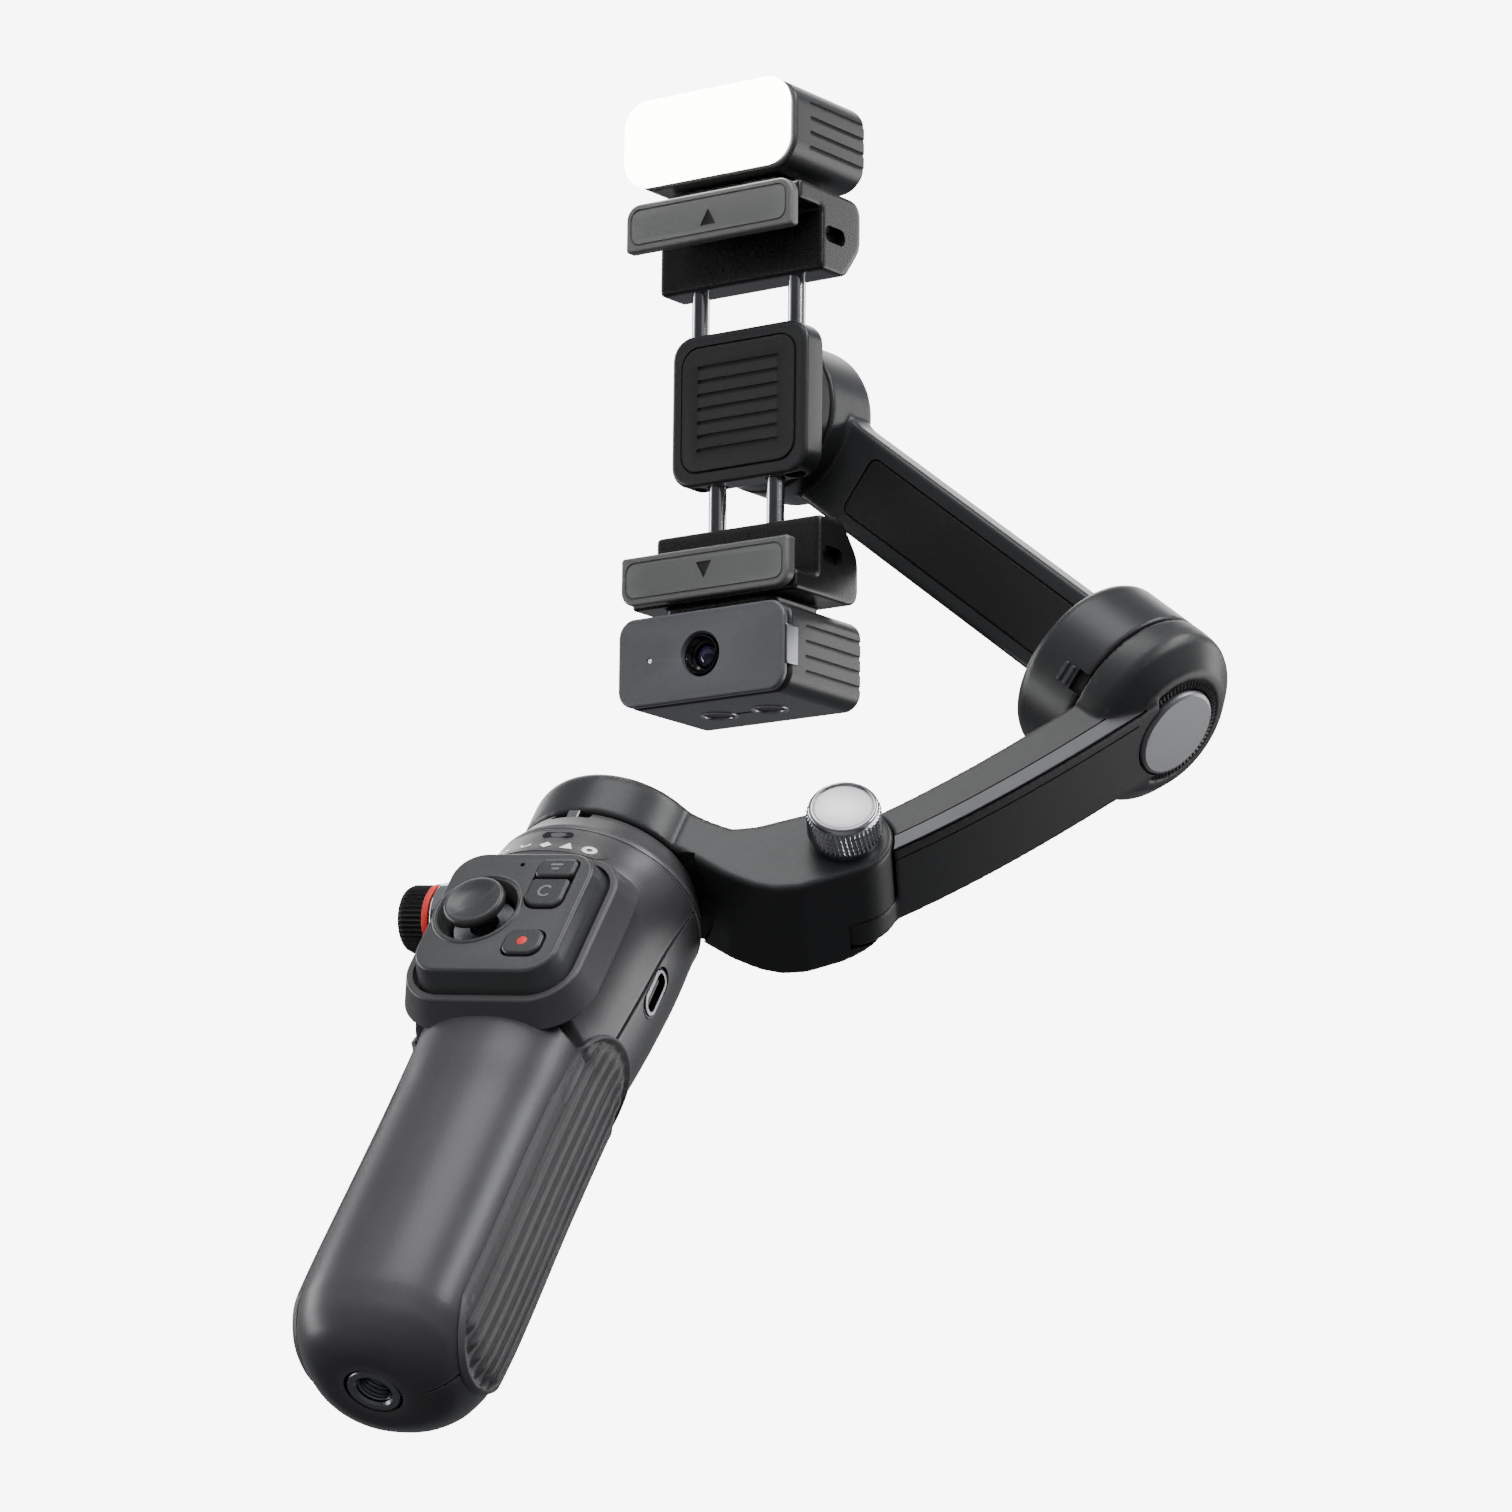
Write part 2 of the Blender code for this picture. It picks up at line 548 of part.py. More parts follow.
# ----------------------------------------------------------------- pan arm and folding hinge
def make_pan_arm(handle):
    """Motor bell and arm in one moulding, ending in a fork round the swing arm's tongue."""
    carrier = body("pan_axis", PAN_FRAME, handle)
    x, z = HINGE
    outline = [(0, 134.6), (13, 134.4), (19, 132.2), (26, 129.4), (32, 128.0), (37, 128.0), (41.5, 129.6)]
    outline += arc(HINGE, HINGE_RADIUS, -58, 62, 10)
    outline += [(x - 1.5, z + 8.6), (x - 6, z + 7.0), (x - 12, z + 3.2), (x - 18, z - 0.8),
                (x - 22.5, z - 2.6), (x - 27, z - 1.8), (x - 31.5, z - 0.4), (0, z + 0.2)]
    arm = plate("arm_block", outline, ARM_BACK, ARM_FRONT, ARM_PLANE)
    reach = x + HINGE_RADIUS
    plan = rounded([(-2, ARM_BACK), (reach + 1, ARM_BACK, 0.1), (reach + 1, -ARM_BACK, 10.5),
                    (-2, -ARM_BACK)], 0.1, 6)
    boolean(arm, plate("arm_plan", plan, 110, 170, PAN_FRAME), "INTERSECT")
    bell = turned("pan_arm_shell", [(0, PAN_TOP), (15.5, PAN_TOP), (17.9, 144.8), (PAN_RADIUS, 143.0),
                                    (PAN_RADIUS, PAN_LOW + 0.4), (PAN_RADIUS - 0.4, PAN_LOW), (0, PAN_LOW)],
                  PAN_FRAME, SHELL_GREY, carrier, 40)
    join(bell, arm)
    hinge = moved(ARM_PLANE, x, z)
    cut(bell, drum("bell_cavity", 16.6, 120, 141.5, PAN_FRAME, steps=24),
        drum("neck_clearance", 22.6, 120, PAN_LOW - 0.05, PAN_FRAME, steps=40),
        drum("fork_slot", HINGE_RADIUS + 0.6, SLOT_BACK, SLOT_FRONT, hinge, steps=40),
        drum("pin_hole", PIN_RADIUS + GAP, ARM_BACK + 1.2, 30, hinge, steps=20))
    turned("pan_shaft", [(0, 141.2), (3.3, 141.2), (3.3, 107.0), (5.5, 107.0), (5.5, 104.5), (0, 104.5)],
           PAN_FRAME, STEEL, carrier, 20)
    drum("hinge_pin", PIN_RADIUS, ARM_BACK + 1.5, ARM_FRONT - 1, hinge, STEEL, carrier, 16)
    turned("pan_cap", [(0, PAN_TOP + 1.1), (10.6, PAN_TOP + 1.1), (11.4, PAN_TOP + GAP),
                       (0, PAN_TOP + GAP)], PAN_FRAME, DARK_PLASTIC, carrier, 32)
    return carrier


def make_knob(pan_body):
    """Knurled locking knob and its flat cap."""
    frame = moved(ARM_PLANE, *HINGE)
    carrier = body("knob_axis", frame, pan_body)
    low = ARM_FRONT + GAP
    profile_top = KNOB_FRONT - 0.9
    knob = turned("knob", [(0, profile_top), (KNOB_RADIUS - 0.5, profile_top),
                           (KNOB_RADIUS, profile_top - 0.5), (KNOB_RADIUS, low + 1.6),
                           (KNOB_RADIUS - 0.9, low + 1.2), (KNOB_RADIUS - 0.9, low), (0, low)], frame,
                  SILVER, carrier, 32)
    for step in range(KNOB_FLUTES):
        angle = 2 * math.pi * step / KNOB_FLUTES
        middle = (KNOB_RADIUS + 0.25) * math.cos(angle), (KNOB_RADIUS + 0.25) * math.sin(angle)
        flute = drum(f"flute_{step}", 0.6, low + 1.4, KNOB_FRONT, moved(frame, *middle), steps=4)
        cut(knob, flute)
    turned("knob_cap", [(0, KNOB_FRONT), (KNOB_RADIUS - 1.0, KNOB_FRONT),
                        (KNOB_RADIUS - 0.7, KNOB_FRONT - 0.3), (KNOB_RADIUS - 0.7, profile_top + GAP),
                        (0, profile_top + GAP)], frame, SILVER, carrier, 32)


# ----------------------------------------------------------------- swing arm and tilt motor
SWING_START = (46.3, 142.3)
SWING_BEND = (67.0, 162.2)
SWING_THICKNESS = (10.6, 11.6)   # at the hinge, at the motor


def swing_centre(share):
    """Point and unit normal of the arm's centre line, from the hinge (0) to the tilt motor (1)."""
    slope = math.radians(TILT_SLOPE)
    end = (TILT_DISC[0] - math.cos(slope) * TILT_SEAM / 2, TILT_DISC[1] + math.sin(slope) * TILT_SEAM / 2)
    point = [(1 - share) ** 2 * a + 2 * share * (1 - share) * b + share ** 2 * c
             for a, b, c in zip(SWING_START, SWING_BEND, end)]
    run = [(1 - share) * (b - a) + share * (c - b) for a, b, c in zip(SWING_START, SWING_BEND, end)]
    length = math.hypot(*run)
    return point, (-run[1] / length, run[0] / length)


def swing_band(start, end, low, high, steps=10):
    """Outline of a band along the centre line; low and high are shares of the half thickness."""
    sides = ([], [])
    for step in range(steps + 1):
        share = start + (end - start) * step / steps
        point, normal = swing_centre(share)
        half = (SWING_THICKNESS[0] + (SWING_THICKNESS[1] - SWING_THICKNESS[0]) * share) / 2
        for side, offset in zip(sides, (low, high)):
            side.append((point[0] + normal[0] * half * offset, point[1] + normal[1] * half * offset))
    return sides[0] + sides[1][::-1]


def make_swing_arm(pan_body):
    """Curved arm from the folding hinge to the tilt motor's bell."""
    hinge = moved(ARM_PLANE, *HINGE)
    carrier = body("fold_axis", hinge, pan_body)
    shell = plate("swing_arm_shell", swing_band(0.0, 0.96, -1, 1, 9), SWING_BACK, SWING_FRONT, ARM_PLANE,
                  SHELL_GREY, carrier)
    bevel(shell, 1.6, 2, 60)
    tongue = drum("tongue", HINGE_RADIUS, SLOT_BACK + GAP, SLOT_FRONT - GAP, hinge, steps=28)
    bell = turned("tilt_bell", [(0, 0), (10.6, 0), (13.6, -0.9), (16.4, -2.8), (18.4, -5.4),
                                (TILT_RADIUS, -8.6), (TILT_RADIUS, -TILT_SEAM + 0.4),
                                (TILT_RADIUS - 0.4, -TILT_SEAM), (0, -TILT_SEAM)], SWING_MOTOR, steps=36)
    cut(shell, drum("front_relief", HINGE_RADIUS + GAP, SLOT_FRONT - GAP, 30, hinge, steps=32))
    join(shell, tongue, bell)
    cut(shell, drum("pin_bore", PIN_RADIUS + GAP, -20, 20, hinge, steps=20),
        turned("bell_hollow", [(0, 2), (9.9, 2), (9.9, -3.6), (12.5, -4.6), (15.4, -6.6), (17.2, -9.4),
                               (17.2, -20), (0, -20)], SWING_MOTOR, steps=20),
        plate("trim_groove", swing_band(0.06, 0.93, -0.98, -0.28, 9), SWING_FRONT - 1.0, SWING_FRONT + 2,
              ARM_PLANE),
        plate("seam_groove", swing_band(0.1, 0.9, -1.2, -0.93, 9), SWING_FRONT - 3.0, SWING_FRONT - 2.4,
              ARM_PLANE))
    trim = plate("swing_arm_trim", swing_band(0.1, 0.92, -0.92, -0.34, 12), SWING_FRONT - 0.7,
                 SWING_FRONT + 0.2, ARM_PLANE, SILVER, carrier)
    cut(trim, drum("trim_end", HINGE_RADIUS + GAP, 0, 20, hinge, steps=36))
    turned("tilt_cap", [(0, 0.1), (9.0, 0.1), (9.6, -0.4), (9.6, -2.6), (0, -2.6)], SWING_MOTOR, SILVER,
           carrier, 36)
    turned("tilt_stator", [(STATOR_BORE, -5.4), (11.8, -5.4), (15.6, -9.8), (15.6, -23.4),
                           (STATOR_BORE, -23.4)], SWING_MOTOR, COPPER, carrier, 24, ring=True)
    return carrier


# ----------------------------------------------------------------- roll arm
def make_roll_arm(swing_body):
    """Tilt rotor bell, flat bar and roll motor housing in one moulding."""
    carrier = body("tilt_axis", TILT_MOTOR, swing_body)
    bar_end = -ROLL_REACH
    width = BAR_HALF_WIDTH
    outline = [(-TILT_DEPTH + 12, -width), (-TILT_DEPTH + 12, width)]
    outline += [(bar_end + 17, width), (bar_end + 12, width + 1.2), (bar_end, width + ROLL_OFFSET)]
    outline += [(bar_end, ROLL_OFFSET - 8), (bar_end + 12, -width)]
    bar = plate("bar", outline, BAR_BACK, BAR_FRONT, BAR_FRAME)
    bevel(bar, 1.4, 2)
    bell = turned("roll_arm_frame", [(0, -TILT_SEAM - GAP), (TILT_RADIUS - 0.4, -TILT_SEAM - GAP),
                                     (TILT_RADIUS, -TILT_SEAM - 0.7), (TILT_RADIUS, -TILT_DEPTH + 2.0),
                                     (TILT_RADIUS - 0.6, -TILT_DEPTH + 0.6), (TILT_RADIUS - 2.2, -TILT_DEPTH),
                                     (0, -TILT_DEPTH)], TILT_MOTOR, SHELL_GREY, carrier, 36)
    housing = turned("roll_housing", [(0, ROLL_FRONT), (ROLL_RADIUS - 0.5, ROLL_FRONT),
                                      (ROLL_RADIUS, ROLL_FRONT - 0.5), (ROLL_RADIUS, ROLL_BACK + 2.6),
                                      (ROLL_RADIUS - 2.4, ROLL_BACK), (0, ROLL_BACK)], ROLL_FRAME, steps=32)
    join(bell, bar, housing)
    cut(bell, drum("rotor_hollow", 16.9, -25.0, 5, TILT_MOTOR, steps=24),
        drum("roll_hollow", 14.4, ROLL_BACK + 3.5, 5, ROLL_FRAME, steps=24),
        plate("inlay_bed", rounded(rectangle(72, 13.4, (bar_end + 61.0, 0)), 2), BAR_FRONT - 0.9, 10,
              BAR_FRAME),
        drum("back_bed", 12.4, ROLL_BACK - 5, ROLL_BACK + 1.2, ROLL_FRAME))
    plate("roll_arm_inlay", rounded(rectangle(71.2, 12.6, (bar_end + 61.0, 0)), 1.7), BAR_FRONT - 0.6,
          BAR_FRONT + 0.1, BAR_FRAME, DARK_PLASTIC, carrier)
    turned("tilt_shaft", [(0, -8.0), (3.6, -8.0), (3.6, -24.7), (0, -24.7)], TILT_MOTOR, STEEL, carrier, 20)
    turned("roll_stator", [(STATOR_BORE, -5.2), (12.0, -5.2), (13.9, -6.6), (13.9, ROLL_BACK + 3.8),
                           (STATOR_BORE, ROLL_BACK + 3.8)], ROLL_FRAME, COPPER, carrier, 24, ring=True)
    turned("roll_back_cap", [(0, ROLL_BACK + 0.9), (12.0, ROLL_BACK + 0.9), (12.0, ROLL_BACK - 0.2),
                             (11.4, ROLL_BACK - 0.8), (0, ROLL_BACK - 0.8)], ROLL_FRAME, SILVER, carrier, 32)
    return carrier


# ----------------------------------------------------------------- clamp
ROD_ACROSS = {-1: 7.5, 1: 12.5}   # the lower jaw's rods run inside the upper jaw's
ROD_LEVEL = 3.2
BASE_BACK, BASE_FRONT = 0.0, 6.7
BASE_HALF = (17.5, 16.5)


def make_clamp(roll_body):
    """Sliding-jaw base plate on the roll motor's rotor."""
    carrier = body("roll_axis", CLAMP_FRAME, roll_body)
    base = plate("clamp_base", rounded(rectangle(2 * BASE_HALF[0], 2 * BASE_HALF[1]), 5), BASE_BACK,
                 BASE_FRONT, CLAMP_FRAME, SHELL_GREY, carrier)
    bevel(base, 0.9, 1)
    rotor = turned("roll_rotor", [(0, 1), (15.8, 1), (ROLL_RADIUS - 0.6, 0.6),
                                  (ROLL_RADIUS - 0.3, ROLL_FRONT + 0.8),
                                  (ROLL_RADIUS - 0.8, ROLL_FRONT + GAP), (0, ROLL_FRONT + GAP)],
                   CLAMP_FRAME, steps=32)
    shaft = drum("roll_shaft", 3.5, ROLL_BACK + 5, 1, CLAMP_FRAME, steps=20)
    join(base, rotor, shaft)
    for across in ROD_ACROSS.values():
        for side in (-1, 1):
            frame = rod_frame(side * across)
            cut(base, drum(f"rod_way_{side * across}", 2.25, -40, 40, frame, steps=10))
    plate("clamp_backing", rounded(rectangle(29, 27), 4), BASE_FRONT + GAP - 0.9, BASE_FRONT + GAP + 0.1,
          CLAMP_FRAME, PAD_RUBBER, carrier)
    cut(base, plate("backing_bed", rounded(rectangle(29.8, 27.8), 4.4), BASE_FRONT - 0.9, BASE_FRONT + 5,
                    CLAMP_FRAME))
    return carrier


def rod_frame(across):
    """Frame whose z axis runs along a guide rod."""
    return CLAMP_FRAME @ axes((across, 0, ROD_LEVEL), (1, 0, 0), (0, 0, -1), (0, 1, 0))


def make_jaw(name, side, clamp_body):
    """One jaw: guide rods, body, lip plate and phone pads. Side is 1 for the upper jaw, -1 for the lower."""
    frame = CLAMP_FRAME @ Matrix.Rotation(math.pi if side < 0 else 0, 4, "Z")
    carrier = body(name + "_axis", frame, clamp_body)
    half = JAW_WIDTH / 2
    shelf = JAW_OPENING / 2 + 1.5
    # side profile (depth, height): back, shelf and the root of the lip
    profile = rounded([(MODULE_BACK + 1.5, 44.0, 3.0), (MODULE_BACK + 1.5, 33.5, 5.5), (-2.5, 26.5, 3.0),
                       (PHONE_BACK - 0.6, 26.5, 1.0), (PHONE_BACK - 0.6, shelf, 0.3),
                       (LIP_FRONT - 3.4, shelf, 0.3), (LIP_FRONT - 3.4, 44.0, 0.3)], 1.0, 4)
    side_frame = frame @ axes((0, 0, 0), (0, 0, 1), (0, 1, 0), (-1, 0, 0))
    jaw = plate(name, profile, -half + 0.4, half - 0.4, side_frame, CLAMP_GREY, carrier)
    bevel(jaw, 0.8)
    foot = box(name + "_foot", (-14, 42.0, -4.0), (14, 46.5, 13.0), frame)
    join(jaw, foot)
    for sign in (-1, 1):
        across = sign * ROD_ACROSS[side]
        rod = turned(f"{name}_rod_{sign}", [(0, 31), (1.9, 31), (1.9, 5.6), (1.4, 5.0), (0, 5.0)],
                     frame @ axes((across, 0, ROD_LEVEL), (1, 0, 0), (0, 0, -1), (0, 1, 0)), steps=12)
        other = sign * ROD_ACROSS[-side]
        way = drum(f"{name}_way_{sign}", 2.3, 20, 34.5,
                   frame @ axes((other, 0, ROD_LEVEL), (1, 0, 0), (0, 0, -1), (0, 1, 0)), steps=10)
        join(jaw, rod)
        cut(jaw, way)
    lip_outline = rounded([(-half, LIP_INNER, 0.6), (half, LIP_INNER, 0.6), (half, LIP_OUTER),
                           (-half, LIP_OUTER)], 3.2, 5)
    lip = plate(name + "_lip", lip_outline, LIP_FRONT - 3.0, LIP_FRONT, frame, CLAMP_GREY, carrier)
    bevel(lip, 0.5)
    mark = plate(name + "_mark", [(-2.0, 36.4), (2.0, 36.4), (0, 40.0)], LIP_FRONT - 0.35, LIP_FRONT + 1,
                 frame)
    cut(lip, mark)
    plate(name + "_pad", rounded([(-half + 4, PHONE_BACK + 0.6), (half - 4, PHONE_BACK + 0.6),
                                  (half - 4, PHONE_FRONT - 1.2), (-half + 4, PHONE_FRONT - 1.2)], 0.8, 3),
          JAW_OPENING / 2, shelf - GAP, frame @ axes((0, 0, 0), (-1, 0, 0), (0, 0, 1), (0, 1, 0)), PAD_RUBBER,
          carrier)
    return carrier


# ----------------------------------------------------------------- light and tracking camera
def module_shell(name, frame, carrier, corner):
    """Rounded block with finned sides that both modules share, open at the front for the face piece."""
    middle = (MODULE_INNER + MODULE_OUTER) / 2
    outline = rounded(rectangle(MODULE_WIDTH, MODULE_OUTER - MODULE_INNER, (0, middle)), corner, 5)
    shell = plate(name, outline, MODULE_BACK, LIP_FRONT - 1.2, frame, CLAMP_GREY, carrier)
    bevel(shell, 1.0, 2)
    inner = rounded(rectangle(MODULE_WIDTH - 3.6, MODULE_OUTER - MODULE_INNER - 3.6, (0, middle)),
                    corner - 1.8, 5)
    cut(shell, plate(name + "_hollow", inner, MODULE_BACK + 2.2, 40, frame))
    for fin in range(4):
        level = middle - 4.8 + 3.2 * fin
        for sign in (-1, 1):
            near, far = sorted((sign * (MODULE_WIDTH / 2 - 0.7), sign * 30))
            cut(shell, box(f"{name}_fin_{fin}_{sign}", (near, level - 0.5, MODULE_BACK - 5),
                           (far, level + 0.5, 12.5), frame))
    return shell


def make_light(jaw_body):
    """Fill light: finned housing, lamp board and a glowing diffuser."""
    frame = CLAMP_FRAME
    carrier = body("light_axis", frame, jaw_body)
    module_shell("light_housing", frame, carrier, 6.0)
    middle = (MODULE_INNER + MODULE_OUTER) / 2
    size = (MODULE_WIDTH, MODULE_OUTER - MODULE_INNER)
    front = plate("light_diffuser", rounded(rectangle(*size, (0, middle)), 6.0, 6), LIP_FRONT - 0.9,
                  LIP_FRONT + 2.2, frame, DIFFUSER, carrier)
    bevel(front, 1.2, 2)
    bevel(plate("lamp_board", rounded(rectangle(size[0] - 5, size[1] - 5, (0, middle)), 3.5, 3),
                LIP_FRONT - 4.0, LIP_FRONT - 2.4, frame, BOARD_GREEN, carrier), 0.2, 1)


def make_tracker(jaw_body):
    """Tracking camera: housing, front plate with a lens well, lens, side trim and two buttons."""
    frame = CLAMP_FRAME @ Matrix.Rotation(math.pi, 4, "Z")
    carrier = body("tracker_axis", frame, jaw_body)
    shell = module_shell("tracker_housing", frame, carrier, 4.0)
    middle = (MODULE_INNER + MODULE_OUTER) / 2
    width = MODULE_WIDTH
    height = MODULE_OUTER - MODULE_INNER
    plate_front = plate("tracker_front", rounded(rectangle(width - 0.2, height - 0.2, (0, middle)), 3.8, 5),
                        LIP_FRONT - 0.9, LIP_FRONT + 0.9, frame, CLAMP_GREY, carrier)
    bevel(plate_front, 0.6)
    lens_frame = moved(frame, 0, middle)
    cut(plate_front, turned("lens_well", [(0, 40), (5.0, 40), (5.0, LIP_FRONT + 0.9), (4.4, LIP_FRONT),
                                          (4.4, 10), (0, 10)], lens_frame, steps=28),
        drum("lamp_well", 1.2, LIP_FRONT, 40, moved(frame, 13.0, middle), steps=14))
    turned("lens_barrel", [(3.0, LIP_FRONT + 0.5), (4.1, LIP_FRONT + 0.5), (4.1, LIP_FRONT - 5.0),
                           (2.4, LIP_FRONT - 5.0), (2.4, LIP_FRONT - 2.2), (3.0, LIP_FRONT - 1.4)],
           lens_frame, DARK_PLASTIC, carrier, 28, ring=True)
    turned("lens_glass", [(0, LIP_FRONT - 0.4), (1.2, LIP_FRONT - 0.5), (2.2, LIP_FRONT - 0.9),
                          (2.2, LIP_FRONT - 2.4), (0, LIP_FRONT - 2.4)], lens_frame, LENS_GLASS, carrier,
           20)
    # buttons on the outer face (towards +y of the turned frame)
    for index, (name, across) in enumerate((("tracker_button_left", 6.5), ("tracker_button_right", -6.5))):
        face = frame @ axes((across, MODULE_OUTER, 3.0), (1, 0, 0), (0, 0, -1), (0, 1, 0))
        cut(shell, drum(f"button_well_{index}", 3.5, -4, 5, face, steps=24))
        button_body = body(name + "_axis", face, carrier)
        turned(name, [(0, -0.2), (2.6, -0.2), (3.1, -0.7), (3.1, -2.4), (0, -2.4)], face, DARK_PLASTIC,
               button_body, 24)


# ----------------------------------------------------------------- assembly
def main():
    """Build every piece, body by body, from the handle outwards."""
    handle = body("handle_axis", HANDLE_FRAME)
    make_handle(handle)
    make_grips(handle)
    make_handle_inside(handle)
    make_neck(handle)
    make_panel(handle)
    make_keys(handle)
    make_joystick(handle)
    make_zoom_wheel(handle)
    make_trigger(handle)
    pan_body = make_pan_arm(handle)
    make_knob(pan_body)
    swing_body = make_swing_arm(pan_body)
    roll_body = make_roll_arm(swing_body)
    clamp_body = make_clamp(roll_body)
    lower_body = make_jaw("lower_jaw", -1, clamp_body)
    upper_body = make_jaw("upper_jaw", 1, clamp_body)
    make_light(upper_body)
    make_tracker(lower_body)


main()
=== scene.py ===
"""Visual model of a folding three-axis phone gimbal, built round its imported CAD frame.

Lengths are millimetres in each piece's own seat, and the seats come from the joints of the frame's record.
"""
from __future__ import annotations

import json
import logging
import math
from dataclasses import dataclass, field
from enum import Enum
from typing import Callable, ClassVar, Iterable, Sequence, Union

import bmesh
import bpy
from mathutils import Matrix, Vector

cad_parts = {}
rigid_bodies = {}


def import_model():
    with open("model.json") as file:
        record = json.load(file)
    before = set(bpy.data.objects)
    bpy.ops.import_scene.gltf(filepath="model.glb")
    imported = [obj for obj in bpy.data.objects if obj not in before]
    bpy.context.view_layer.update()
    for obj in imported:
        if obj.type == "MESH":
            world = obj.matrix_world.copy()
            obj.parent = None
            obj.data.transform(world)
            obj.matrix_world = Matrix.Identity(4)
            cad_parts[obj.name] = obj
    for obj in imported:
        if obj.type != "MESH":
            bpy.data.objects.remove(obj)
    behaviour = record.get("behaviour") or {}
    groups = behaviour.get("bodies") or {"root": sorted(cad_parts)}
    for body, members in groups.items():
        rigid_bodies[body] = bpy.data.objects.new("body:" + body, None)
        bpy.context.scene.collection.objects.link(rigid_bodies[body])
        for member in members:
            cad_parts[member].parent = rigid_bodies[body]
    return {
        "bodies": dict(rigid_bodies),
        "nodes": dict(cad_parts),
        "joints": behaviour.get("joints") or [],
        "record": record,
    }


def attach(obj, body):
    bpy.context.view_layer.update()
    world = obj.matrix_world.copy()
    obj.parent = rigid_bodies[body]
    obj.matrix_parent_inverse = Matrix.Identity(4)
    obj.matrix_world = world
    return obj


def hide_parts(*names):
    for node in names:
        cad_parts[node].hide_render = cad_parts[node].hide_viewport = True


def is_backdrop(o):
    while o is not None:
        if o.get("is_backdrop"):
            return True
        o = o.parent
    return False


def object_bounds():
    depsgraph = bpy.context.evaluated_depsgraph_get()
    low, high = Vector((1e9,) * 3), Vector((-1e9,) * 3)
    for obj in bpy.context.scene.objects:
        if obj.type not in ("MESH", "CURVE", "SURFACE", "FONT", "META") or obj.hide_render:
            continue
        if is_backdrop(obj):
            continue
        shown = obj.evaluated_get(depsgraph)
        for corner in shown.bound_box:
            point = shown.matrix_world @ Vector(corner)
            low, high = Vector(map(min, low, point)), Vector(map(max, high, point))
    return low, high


MM = 0.001
MERGE = 1e-4            # merge distance of a form, millimetres
CREASE = 32.0           # edges sharper than this stay crisp, degrees
LOG = logging.getLogger("gimbal")

Point = tuple[float, float]
Number = Union[int, float]


# ------------------------------------------------------------------ shader expressions
class Signal:
    """A shader socket that takes part in Python expressions."""

    def __init__(self, graph: "Graph", socket: bpy.types.NodeSocket) -> None:
        """Wrap one output socket.

        Args:
            graph: The graph that the socket belongs to.
            socket: The output socket.
        """
        self.graph = graph
        self.socket = socket

    def _math(self, operation: str, first: "Value", second: "Value") -> "Signal":
        """Add one Math node.

        Args:
            operation: Name of the Math node's operation.
            first: Upper operand.
            second: Lower operand.

        Returns:
            The node's result.
        """
        return self.graph.add("ShaderNodeMath", {"operation": operation}, {0: first, 1: second})

    def __add__(self, other: "Value") -> "Signal":
        """Sum."""
        return self._math("ADD", self, other)

    def __radd__(self, other: "Value") -> "Signal":
        """Reflected sum."""
        return self._math("ADD", other, self)

    def __sub__(self, other: "Value") -> "Signal":
        """Difference."""
        return self._math("SUBTRACT", self, other)

    def __rsub__(self, other: "Value") -> "Signal":
        """Reflected difference."""
        return self._math("SUBTRACT", other, self)

    def __mul__(self, other: "Value") -> "Signal":
        """Product."""
        return self._math("MULTIPLY", self, other)

    def __rmul__(self, other: "Value") -> "Signal":
        """Reflected product."""
        return self._math("MULTIPLY", other, self)


Value = Union[Signal, Number, Sequence[float]]


